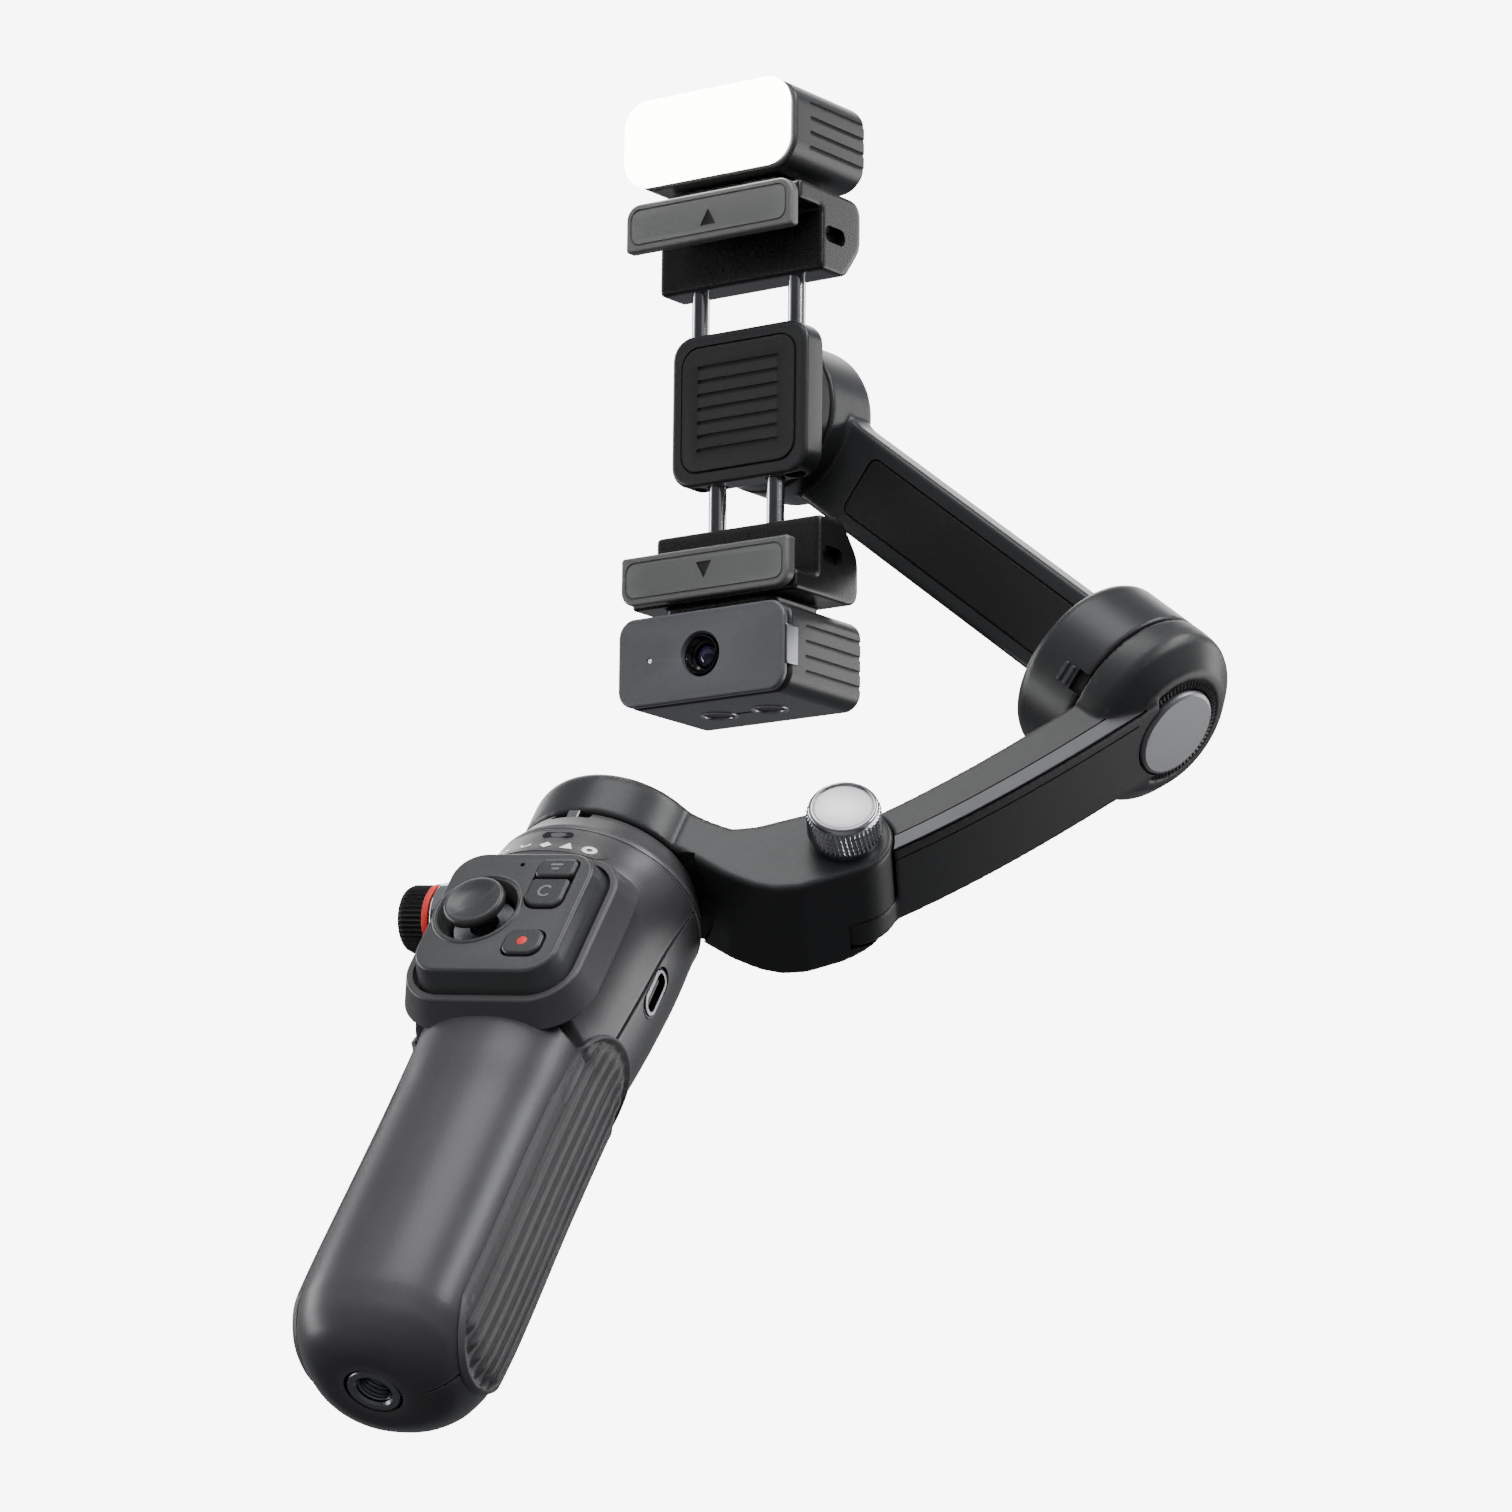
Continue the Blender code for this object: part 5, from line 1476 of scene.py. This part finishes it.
# ------------------------------------------------------------------ swing arm
@dataclass
class SwingArm(Assembly):
    """Curved arm from the folding hinge to the tilt motor."""

    body: ClassVar[str] = "swing_arm"
    start: Point = (46.3, 142.3)
    bend: Point = (67.0, 162.2)
    disc: Point = (97.6, 199.7)
    slope: float = 32.0
    seam: float = 12.0
    radius: float = 19.5
    hinge_radius: float = 9.2
    front: float = 11.0
    back: float = -8.5
    tongue: Point = (-9.1, -2.5)
    thickness: Point = (10.6, 11.6)

    def band(self, start: float, end: float, low: float, high: float, steps: int = 40) -> list[Point]:
        """Outline of a band along the arm's centre line.

        Args:
            start: Share of the line where it starts.
            end: Share of the line where it ends.
            low: Lower side, as a share of the half thickness.
            high: Upper side.
            steps: Chords along it.

        Returns:
            The outline.
        """
        slope = math.radians(self.slope)
        end_point = (self.disc[0] - math.cos(slope) * self.seam / 2,
                     self.disc[1] + math.sin(slope) * self.seam / 2)
        sides: tuple[list[Point], list[Point]] = ([], [])
        for step in range(steps + 1):
            share = start + (end - start) * step / steps
            rows = list(zip(self.start, self.bend, end_point))
            point = [(1 - share) ** 2 * a + 2 * share * (1 - share) * b + share ** 2 * c for a, b, c in rows]
            run = [(1 - share) * (b - a) + share * (c - b) for a, b, c in rows]
            length = math.hypot(*run)
            half = (self.thickness[0] + (self.thickness[1] - self.thickness[0]) * share) / 2
            for side, offset in zip(sides, (low, high)):
                side.append((point[0] - run[1] / length * half * offset,
                             point[1] + run[0] / length * half * offset))
        return sides[0] + sides[1][::-1]

    def arm(self) -> None:
        """Arm and motor bell in one moulding, with the silver strip let into its face."""
        seats = self.seats
        hinge = seats.arm.inverted() @ seats.hinge
        motor = seats.arm.inverted() @ seats.swing_motor
        low, high = self.tongue
        wide = self.hinge_radius + 0.3
        beam = Form.slab(self.band(0.0, 0.96, -1, 1), self.back, self.front).combined(
            cuts=[Form.drum(wide, high, 30, 96).moved(hinge)])
        knuckle = Form.drum(self.hinge_radius, low, high, 96)
        bell = Form.turned([(0, -1.4), (11.6, -1.4), (11.6, -0.7), (13.9, -1.0), (18.4, -4.6), (19.3, -6.2),
                            (self.radius, -8.6), (self.radius, -self.seam), (0, -self.seam)],
                           160).moved(motor)
        core = beam.combined(joins=[knuckle.moved(hinge), bell]).softened(0.4, 7)
        form = core.combined(cuts=[
            Form.turned([(0, 5), (9.9, 5), (9.9, -3.6), (12.5, -4.6), (15.4, -6.6), (17.2, -9.4), (17.2, -20),
                         (0, -20)], 64).moved(motor),
            Form.slab(self.band(0.1, 0.925, -0.97, -0.28), self.front - 0.9, self.front + 0.18),
            Form.slab(self.band(0.1, 0.9, -1.3, -0.93), self.front - 2.9, self.front - 2.5)])
        self.add("swing_arm_moulding", form, seats.arm, Skin.SWING, "swing_arm_shell", 38.0)
        strip = Form.slab(self.band(0.105, 0.92, -0.92, -0.33, 60), self.front - 0.95, self.front + 0.15,
                          0.2, 2)
        trim = strip.combined(cuts=[Form.drum(wide, -9, 40, 96).moved(hinge)])
        self.add("swing_arm_strip", trim, seats.arm, Skin.STRIP, "swing_arm_trim")

    def motor(self) -> None:
        """Outer disc of the tilt motor, its serrated ring, and a black well under the disc that paints the
        shade round it.
        """
        at = self.seats.swing_motor
        disc = Form.turned([(0, 0.45), (8.7, 0.4), (9.3, 0.1), (9.55, -0.5), (9.55, -2.6), (0, -2.6)], 128)
        self.add("tilt_disc", disc, at, Skin.DISC, "tilt_cap", 25.0)
        ring = Form.turned([(9.9, -1.0), (10.1, -0.55), (11.4, -0.6), (11.5, -1.1), (11.5, -2.0),
                            (9.9, -2.0)], 360, ring=True)
        for vert in ring.bm.verts:
            if vert.co.z > -0.7:
                vert.co.z -= 0.28 * (0.5 + 0.5 * math.cos(72 * math.atan2(vert.co.y, vert.co.x)))
        self.add("tilt_serrated_ring", ring, at, Skin.BLACK, crease=50.0, slot="dark_plastic")
        # black well under the disc: painted shade of the gap round it
        well = Form.drum(10.2, -3.4, -2.4, 96)
        self.add("tilt_disc_well", well, at, Skin.BLACK, slot="dark_plastic")
        self.shop.dress({"tilt_stator": Skin.COPPER})

    def build(self) -> None:
        """Build the swing arm."""
        self.arm()
        self.motor()


# ------------------------------------------------------------------ roll arm
@dataclass
class RollArm(Assembly):
    """Tilt rotor, flat bar and roll motor housing."""

    body: ClassVar[str] = "roll_arm"
    seam: float = 12.0
    depth: float = 27.5
    tilt_radius: float = 19.5
    reach: float = 132.0
    offset: float = 1.4
    half_width: float = 10.1
    bar_front: float = -10.2
    bar_back: float = -18.0
    roll_radius: float = 17.0
    roll_front: float = -4.0
    roll_back: float = -21.0

    def frame(self) -> None:
        """Bell, bar and housing in one moulding."""
        seats = self.seats
        end, width = -self.reach, self.half_width
        tilt, roll = (seats.bar.inverted() @ other for other in (seats.tilt_motor, seats.roll))
        outline = [(12 - self.depth, -width), (12 - self.depth, width), (end + 17, width),
                   (end + 12, width + 1.2), (end, width + self.offset), (end, self.offset - 8),
                   (end + 12, -width)]
        top, back = -self.seam - 0.3, -self.depth
        bell = Form.turned([(0, top), (self.tilt_radius, top), (self.tilt_radius, back + 2.0),
                            (self.tilt_radius - 0.8, back + 0.5), (self.tilt_radius - 2.2, back),
                            (0, back)], 160)
        housing = Form.turned([(0, self.roll_front), (self.roll_radius, self.roll_front),
                               (self.roll_radius, self.roll_back + 2.6),
                               (self.roll_radius - 2.4, self.roll_back), (0, self.roll_back)], 160)
        bar = Form.slab(outline[::-1], self.bar_back, self.bar_front, 0.9, 3)
        core = bar.combined(joins=[bell.moved(tilt), housing.moved(roll)]).softened(0.42, 5)
        form = core.combined(cuts=[
            Form.drum(16.9, -25, 5, 64).moved(tilt),
            Form.drum(14.4, self.roll_back + 3.5, 5, 64).moved(roll),
            Form.slab(oblong(72, 13.6, 2.1, (end + 61.0, 0)), self.bar_front - 0.9, 10),
            Form.slab(oblong(4.0, 4.6, 0.3, (19.0, 0)), -15.0, -8).moved(tilt),
            Form.drum(12.4, -40, self.roll_back + 1.2, 96).moved(roll)])
        self.add("roll_arm_moulding", form, seats.bar, Skin.ARM, "roll_arm_frame", 38.0)
        # black floor of the notch: painted shade
        floor = Form.turned([(16.95, -12.6), (18.4, -12.6), (18.4, -15.2), (16.95, -15.2)], 96, ring=True)
        self.add("tilt_notch_floor", floor, seats.tilt_motor, Skin.BLACK, slot="dark_plastic")
        for number, level in enumerate((-16.3, -18.1)):
            ridge = Form.slab(oblong(1.6, 4.2, 0.3, (self.tilt_radius - 0.5, 0)), level - 0.45,
                              level + 0.45, 0.2, 2)
            self.add(f"tilt_lock_ridge_{number + 1}", ridge, seats.tilt_motor, Skin.KEY)
        inlay = Form.slab(oblong(71.2, 12.8, 1.7, (end + 61.0, 0)), self.bar_front - 0.95,
                          self.bar_front + 0.1, 0.25, 2)
        self.add("bar_inlay", inlay, seats.bar, Skin.INLAY, "roll_arm_inlay")
        cap = Form.turned([(0, self.roll_back + 0.9), (12.0, self.roll_back + 0.9),
                           (12.0, self.roll_back - 0.3), (11.7, self.roll_back - 0.7),
                           (11.0, self.roll_back - 0.8), (0, self.roll_back - 0.8)], 128)
        self.add("roll_back_disc", cap, seats.roll, Skin.SILVER, "roll_back_cap")
        self.shop.dress({"tilt_shaft": Skin.STEEL, "roll_stator": Skin.COPPER})

    def build(self) -> None:
        """Build the roll arm."""
        self.frame()


# ------------------------------------------------------------------ clamp and jaws
@dataclass
class Clamp(Assembly):
    """Base plate on the roll motor, and the two sliding jaws."""

    body: ClassVar[str] = "clamp"
    base: Point = (35.0, 33.0)
    base_front: float = 6.7
    rod_level: float = 3.2
    rods: dict = field(default_factory=lambda: {"lower": 7.5, "upper": 12.5})
    jaw_width: float = 43.0
    opening: float = 76.7
    phone_back: float = 7.15
    phone_front: float = 15.4
    lip_front: float = 18.4
    lip: Point = (33.3, 43.8)
    back: float = -8.1

    def plate(self) -> None:
        """Base plate with its rotor and a ribbed rubber backing."""
        at = self.seats.upper
        slab = Form.slab(oblong(*self.base, 5.0), 0.0, self.base_front, 1.0, 4)
        rotor = Form.turned([(0, 1), (15.8, 1), (16.4, 0.6), (16.7, -3.2), (16.2, -3.7), (0, -3.7)], 128)
        shaft = Form.drum(3.5, -16, 1, 48)
        bed = Form.slab(oblong(29.8, 27.8, 4.4), self.base_front - 0.9, 20)
        ways = [self.rod(sign * across, 2.25, -40, 40) for across in self.rods.values() for sign in (-1, 1)]
        form = slab.combined(joins=[rotor, shaft], cuts=[bed, *ways])
        self.add("clamp_plate", form, at, Skin.HOUSING, "clamp_base")
        pad = Form.slab(oblong(29.0, 27.0, 4.0), self.base_front - 0.6, self.base_front + 0.25, 0.25, 2)
        grooves = [Form.slab(oblong(21.0, 0.9, 0.44, (0, level)), self.base_front - 0.1, self.base_front + 2)
                   for level in (-9, -6, -3, 0, 3, 6, 9)]
        self.add("clamp_backing_ribbed", pad.combined(cuts=grooves), at, Skin.PAD, "clamp_backing")

    def rod(self, across: float, radius: float, start: float, end: float) -> Form:
        """Bar along a guide rod's line.

        Args:
            across: Its place across the clamp.
            radius: Its radius.
            start: Where it starts along the jaw's travel.
            end: Where it ends.

        Returns:
            The form in the clamp's seat.
        """
        lie = Matrix.Translation((across, 0, self.rod_level)) @ Matrix.Rotation(-math.pi / 2, 4, "X")
        tip = min(0.5, radius / 3)
        return Form.turned([(0, end), (radius, end), (radius, start + tip), (radius - tip, start),
                            (0, start)], 36).moved(lie)

    def jaw(self, name: str, at: Matrix, key: str) -> None:
        """One jaw: body, rods, lip plate with its arrow, and the phone pad.

        Args:
            name: The jaw's body.
            at: Its seat.
            key: Which pair of rods it carries.
        """
        half, shelf = self.jaw_width / 2, self.opening / 2 + 1.5
        root, reach = self.phone_back - 0.6, self.lip_front - 3.4
        profile = rounded([(self.back, 44.0, 3.2), (self.back, 33.5, 5.5), (-2.5, 26.5, 3.0),
                           (root, 26.5, 1.0), (root, shelf, 0.3), (reach, shelf, 0.3), (reach, 44.0, 0.3)],
                          1.0, 8)
        body = Form.slab(profile, 0.4 - half, half - 0.4).moved(ENDWAYS)
        foot = Form.slab(oblong(28, 17, 1.5, (0, 4.5)), 42.0, 46.5).moved(UNDER)
        hooks = [Form.slab(oblong(7.4, 3.6, 1.75, (1.6, 34.6)), sign * half - 2.6,
                           sign * half + 2.6).moved(ENDWAYS) for sign in (-1, 1)]
        form = body.combined(joins=[foot]).softened(0.4, 5).combined(cuts=hooks)
        self.add(name + "_moulding", form, at, Skin.JAW, name, 38.0, body=name)
        for sign in (-1, 1):
            self.add(f"{name}_rod_{'left' if sign < 0 else 'right'}",
                     self.rod(sign * self.rods[key], 1.9, 5.0, 31.0), at, Skin.CHROME, body=name)
        low, high = self.lip
        outline = rounded([(-half, low, 0.8), (half, low, 0.8), (half, high), (-half, high)], 3.4, 12)
        mark = Form.slab([(-2.0, 36.4), (2.0, 36.4), (0, 40.0)], self.lip_front - 0.35, self.lip_front + 1)
        centre = (0, (low + high) / 2)
        inside = Form.slab(oblong(2 * half - 3.3, high - low - 3.3, 2.0, centre), 0, 30)
        line = Form.slab(oblong(2 * half - 2.4, high - low - 2.4, 2.4, centre), self.lip_front - 0.3,
                         self.lip_front + 1).combined(cuts=[inside])
        plate = Form.slab(outline, self.lip_front - 2.9, self.lip_front, 0.6, 4).combined(cuts=[mark, line])
        self.add(name + "_lip_plate", plate, at, Skin.LIP, name + "_lip", body=name)
        arrow = Form.slab([(-1.9, 36.45), (1.9, 36.45), (0, 39.9)], self.lip_front - 0.6,
                          self.lip_front - 0.2)
        self.add(name + "_arrow", arrow, at, Skin.BLACK, body=name, slot="dark_plastic")
        gasket = Form.slab(rounded([(-half + 0.8, low + 0.6, 0.8), (half - 0.8, low + 0.6, 0.8),
                                    (half - 0.8, high - 0.7), (-half + 0.8, high - 0.7)], 3.0),
                           self.lip_front - 3.5, self.lip_front - 2.7)
        self.add(name + "_gasket", gasket, at, Skin.PAD, body=name)
        pad_centre = (0, -(self.phone_front + self.phone_back - 0.6) / 2)
        pad = Form.slab(oblong(2 * half - 8, self.phone_front - self.phone_back - 1.8, 0.8, pad_centre),
                        self.opening / 2, shelf, 0.3, 2)
        grooves = [Form.slab(oblong(0.9, 5.0, 0.4, (across * 2.6, -11.0)), self.opening / 2 - 1,
                             self.opening / 2 + 0.5) for across in range(-6, 7)]
        self.add(name + "_pad_ribbed", pad.combined(cuts=grooves), at @ OUTWARD, Skin.PAD, name + "_pad",
                 body=name)

    def build(self) -> None:
        """Build the clamp."""
        self.plate()
        self.jaw("upper_jaw", self.seats.upper, "upper")
        self.jaw("lower_jaw", self.seats.lower, "lower")


# ------------------------------------------------------------------ modules
@dataclass
class Module(Assembly):
    """Finned housing that the light and the tracking camera share."""

    body: ClassVar[str] = "tracker"
    width: float = 42.6
    inner: float = 46.8
    outer: float = 66.0
    back: float = -9.6
    front: float = 18.4
    fins: int = 4

    @property
    def middle(self) -> float:
        """Height of the module's middle over the roll axis."""
        return (self.inner + self.outer) / 2

    @property
    def height(self) -> float:
        """Height of the module."""
        return self.outer - self.inner

    def housing(self, name: str, at: Matrix, corner: float, stands_for: str, body: str,
                wells: Sequence[Form] = ()) -> None:
        """Housing with its grooved sides.

        Args:
            name: The piece's name.
            at: Its seat.
            corner: Corner radius of its section.
            stands_for: The node that it replaces.
            body: The body that it rides on.
            wells: More forms to take away.
        """
        outline = oblong(self.width, self.height, corner, (0, self.middle), 14)
        hollow = oblong(self.width - 3.6, self.height - 3.6, corner - 1.8, (0, self.middle))
        slots = []
        for fin in range(self.fins):
            level = self.middle - 4.8 + 3.2 * fin
            for sign in (-1, 1):
                groove = oblong(22.0, 1.0, 0.45, (self.back + 10.0, level))
                side = sign * self.width / 2
                slots.append(Form.slab(groove, side - 0.75, side + 0.75).moved(ENDWAYS))
        form = Form.slab(outline, self.back, self.front - 1.2, 1.3, 4).combined(
            cuts=[Form.slab(hollow, self.back + 2.2, 40), *slots, *wells])
        self.add(name, form, at, Skin.HOUSING, stands_for, body=body, slot="clamp_grey")

    def light(self) -> None:
        """Fill light with a glowing diffuser."""
        at = self.seats.upper
        self.housing("light_case", at, 6.0, "light_housing", "light")
        front = Form.slab(oblong(self.width, self.height, 6.0, (0, self.middle), 16), self.front - 0.9,
                          self.front + 2.2, 1.7, 8)
        self.add("light_front", front, at, Skin.DIFFUSER, "light_diffuser", body="light")
        self.shop.dress({"lamp_board": Skin.BOARD})

    def tracker(self) -> None:
        """Tracking camera with its front plate, lens, lamp, side bar and buttons."""
        at = self.seats.lower
        def button_seat(across: float) -> Matrix:
            """Seat on the outer face."""
            return seat((across, self.outer, 3.0), Vector((1, 0, 0)), Vector((0, 1, 0)))

        wells, seats = [], []
        for across in (6.5, -6.5):
            face = button_seat(across)
            seats.append(face)
            wells.append(Form.turned([(0, 5), (3.7, 5), (3.5, 0), (3.4, -4), (0, -4)], 64).moved(face))
        slot = Form.slab(oblong(4.2, 1.0, 0.45), -0.7, 3).moved(button_seat(0.0))
        self.housing("tracker_case", at, 4.0, "tracker_housing", "tracker", [*wells, slot])
        lens = Matrix.Translation((0, self.middle, 0))
        level = self.front + 0.9
        well = Form.turned([(0, 40), (5.4, 40), (5.0, level), (4.5, self.front), (4.4, 10), (0, 10)],
                           96).moved(lens)
        lamp = Form.turned([(0, 40), (0.9, 40), (0.7, level - 0.4), (0, level - 0.4)],
                           32).shifted(13.0, self.middle)
        plate = Form.slab(oblong(self.width - 0.2, self.height - 0.2, 3.9, (0, self.middle), 14),
                          self.front - 0.9, level, 0.6, 4).combined(cuts=[well, lamp])
        self.add("tracker_face", plate, at, Skin.MODULE, "tracker_front")
        barrel = [(4.1, self.front + 0.5), (3.9, self.front + 0.6), (3.7, self.front + 0.2),
                  (3.2, self.front - 0.4), (3.2, self.front - 0.9), (2.7, self.front - 1.2),
                  (2.4, self.front - 2.2), (2.4, self.front - 5.0), (4.1, self.front - 5.0)]
        self.add("tracker_lens_barrel", Form.turned(barrel, 96, ring=True), at @ lens, Skin.PIANO,
                 "lens_barrel", slot="dark_plastic")
        glass = [(0, self.front - 0.9), (0.9, self.front - 0.98), (1.7, self.front - 1.25),
                 (2.3, self.front - 1.7), (2.3, self.front - 3.0), (0, self.front - 3.0)]
        self.add("tracker_lens_glass", Form.turned(glass, 72), at @ lens, Skin.GLASS, "lens_glass", 60.0)
        lamp_dot = Form.turned([(0, level - 0.15), (0.5, level - 0.2), (0.65, level - 0.5),
                                (0, level - 0.5)], 24)
        self.add("tracker_lamp", lamp_dot, at @ Matrix.Translation((13.0, self.middle, 0)), Skin.WHITE)
        bar = Form.slab(oblong(1.3, 8.5, 0.4, (-self.width / 2 + 0.35, self.middle)), self.front - 4.0,
                        self.front + 0.2, 0.25, 3)
        self.add("tracker_side_bar", bar, at, Skin.SILVER)
        for name, face in zip(("tracker_button_left", "tracker_button_right"), seats):
            button = Form.turned([(0, -0.35), (1.6, -0.3), (2.5, -0.15), (2.9, -0.3), (3.1, -0.8),
                                  (3.1, -2.4), (0, -2.4)], 72)
            self.add(name + "_cap", button, at @ face, Skin.BLACK, name, 45.0, body=name, slot="dark_plastic")
            ring = Form.turned([(3.45, 0.02), (3.6, 0.22), (3.95, 0.2), (4.1, -0.1), (3.4, -0.3)], 72,
                               ring=True)
            self.add(name + "_ring", ring, at @ face, Skin.SILVER, crease=60.0)

    def build(self) -> None:
        """Build both modules."""
        self.light()
        self.tracker()


# ------------------------------------------------------------------ studio
@dataclass
class Studio:
    """Pale floor, soft lights and the camera."""

    azimuth: float = 34.67
    elevation: float = -40.95
    roll: float = 24.06
    distance: float = 1.2
    aim: tuple[float, float, float] = (0.03745, -0.02507, 0.1421)
    lens: float = 148.14
    floor_level: float = -1.25
    floor_glow: float = 7.7
    backdrop: float = 8.0
    surround: float = 0.3
    film_width: float = 36.0

    def camera(self) -> tuple[Vector, Vector, Vector]:
        """Make the camera.

        Returns:
            Its right, up and backward directions.
        """
        turn, rise = math.radians(self.azimuth), math.radians(self.elevation)
        back = Vector((math.sin(turn) * math.cos(rise), -math.cos(turn) * math.cos(rise), math.sin(rise)))
        right = Vector((0, 0, 1)).cross(back).normalized()
        right = Matrix.Rotation(math.radians(self.roll), 3, back) @ right
        up = back.cross(right)
        data = bpy.data.cameras.new("camera")
        data.lens, data.sensor_width = self.lens, self.film_width
        data.clip_start, data.clip_end = 0.05, 20.0
        made = bpy.data.objects.new("camera", data)
        matrix = Matrix((right, up, back)).transposed().to_4x4()
        matrix.translation = Vector(self.aim) + back * self.distance
        made.matrix_world = matrix
        bpy.context.scene.collection.objects.link(made)
        bpy.context.scene.camera = made
        return right, up, back

    def light(self, name: str, direction: Vector, distance: float, size: Point, power: float,
              mirrored: bool) -> None:
        """Soft box aimed at the gimbal.

        Args:
            name: Its name.
            direction: Where it stands, seen from the gimbal.
            distance: How far off, in metres.
            size: Its width and height.
            power: Its power in watts.
            mirrored: Whether shiny surfaces reflect it.
        """
        data = bpy.data.lights.new(name, "AREA")
        data.shape, data.size, data.size_y = "RECTANGLE", *size
        data.energy = power
        made = bpy.data.objects.new(name, data)
        direction = direction.normalized()
        made.rotation_mode = "QUATERNION"
        made.location = Vector(self.aim) + direction * distance
        made.rotation_quaternion = direction.to_track_quat("Z", "Y")
        made.visible_glossy = mirrored
        bpy.context.scene.collection.objects.link(made)

    def world(self) -> None:
        """Even white surroundings, dimmer for the light they give than for the backdrop they make."""
        world = bpy.data.worlds.new("studio")
        world.use_nodes = True
        nodes, links = world.node_tree.nodes, world.node_tree.links
        lit = nodes["Background"]
        lit.inputs["Color"].default_value = (0.93, 0.95, 1.0, 1)
        lit.inputs["Strength"].default_value = self.surround
        seen = nodes.new("ShaderNodeBackground")
        seen.inputs["Color"].default_value = (1, 1, 1, 1)
        seen.inputs["Strength"].default_value = self.backdrop
        path, mix = nodes.new("ShaderNodeLightPath"), nodes.new("ShaderNodeMixShader")
        links.new(path.outputs["Is Camera Ray"], mix.inputs["Fac"])
        links.new(lit.outputs["Background"], mix.inputs[1])
        links.new(seen.outputs["Background"], mix.inputs[2])
        links.new(mix.outputs["Shader"], nodes["World Output"].inputs["Surface"])
        bpy.context.scene.world = world

    def floor(self) -> None:
        """Pale floor, well under the camera."""
        form = Form()
        bmesh.ops.create_grid(form.bm, x_segments=4, y_segments=4, size=6.0)
        bmesh.ops.translate(form.bm, verts=form.bm.verts, vec=(0, 0, self.floor_level))
        graph = Graph("floor")
        cloud = graph.noise(1.5, 3.0)
        seen = graph.add("ShaderNodeLightPath", {}, {}, "Is Camera Ray")
        pale = graph.mix(cloud, paint((238, 238, 238)), paint((246, 246, 246)))
        graph.surface(Base_Color=graph.mix(seen, paint((110, 110, 112)), pale), Roughness=0.8 + cloud * 0.1,
                      Emission_Color=graph.mix(seen, (0, 0, 0, 1), (1, 1, 1, 1)),
                      Emission_Strength=self.floor_glow)
        mesh = form.mesh("floor")
        mesh.materials.append(graph.material)
        made = bpy.data.objects.new("floor", mesh)
        bpy.context.scene.collection.objects.link(made)
        made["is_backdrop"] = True

    def build(self) -> None:
        """Set the studio up."""
        right, up, back = self.camera()
        self.world()
        self.floor()
        boxes = {
            "key": (back * 0.6 + up * 0.8 - right * 0.1, 1.4, (1.2, 1.0), 26, False),
            "top": (up * 1.0 + back * 0.05 - right * 0.1, 1.3, (0.9, 0.7), 8, True),
            "fill": (back * 0.8 - right * 0.7 + up * 0.1, 1.7, (1.4, 1.4), 8, False),
            "strip_right": (right * 0.72 + up * 0.69 + back * 0.05, 1.3, (0.3, 1.3), 12, True),
            "rim_left": (up * 0.1 - right * 1.0 - back * 0.35, 1.3, (0.4, 1.4), 10, True),
            "rim_right": (right * 1.0 - up * 0.1 - back * 0.5, 1.3, (0.4, 1.4), 8, True),
            "behind": (up * 0.3 - back * 0.9, 1.6, (1.2, 1.2), 14, True),
        }
        for name, box in boxes.items():
            self.light(name, *box)


def corners(box: tuple[Vector, Vector]) -> list[list[float]]:
    """Box as plain lists."""
    return [list(corner) for corner in box]


def main() -> None:
    """Build the gimbal round its frame."""
    logging.basicConfig(level=logging.INFO, format="%(name)s: %(message)s")
    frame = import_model()
    cad_box = corners(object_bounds())
    Studio().build()
    shop = Workshop(frame)
    for assembly in (Handle, ControlPanel, PanArm, SwingArm, RollArm, Clamp, Module):
        assembly(shop).build()
    {"cad": cad_box, "visual": corners(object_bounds())}


if __name__ == "__main__":
    main()
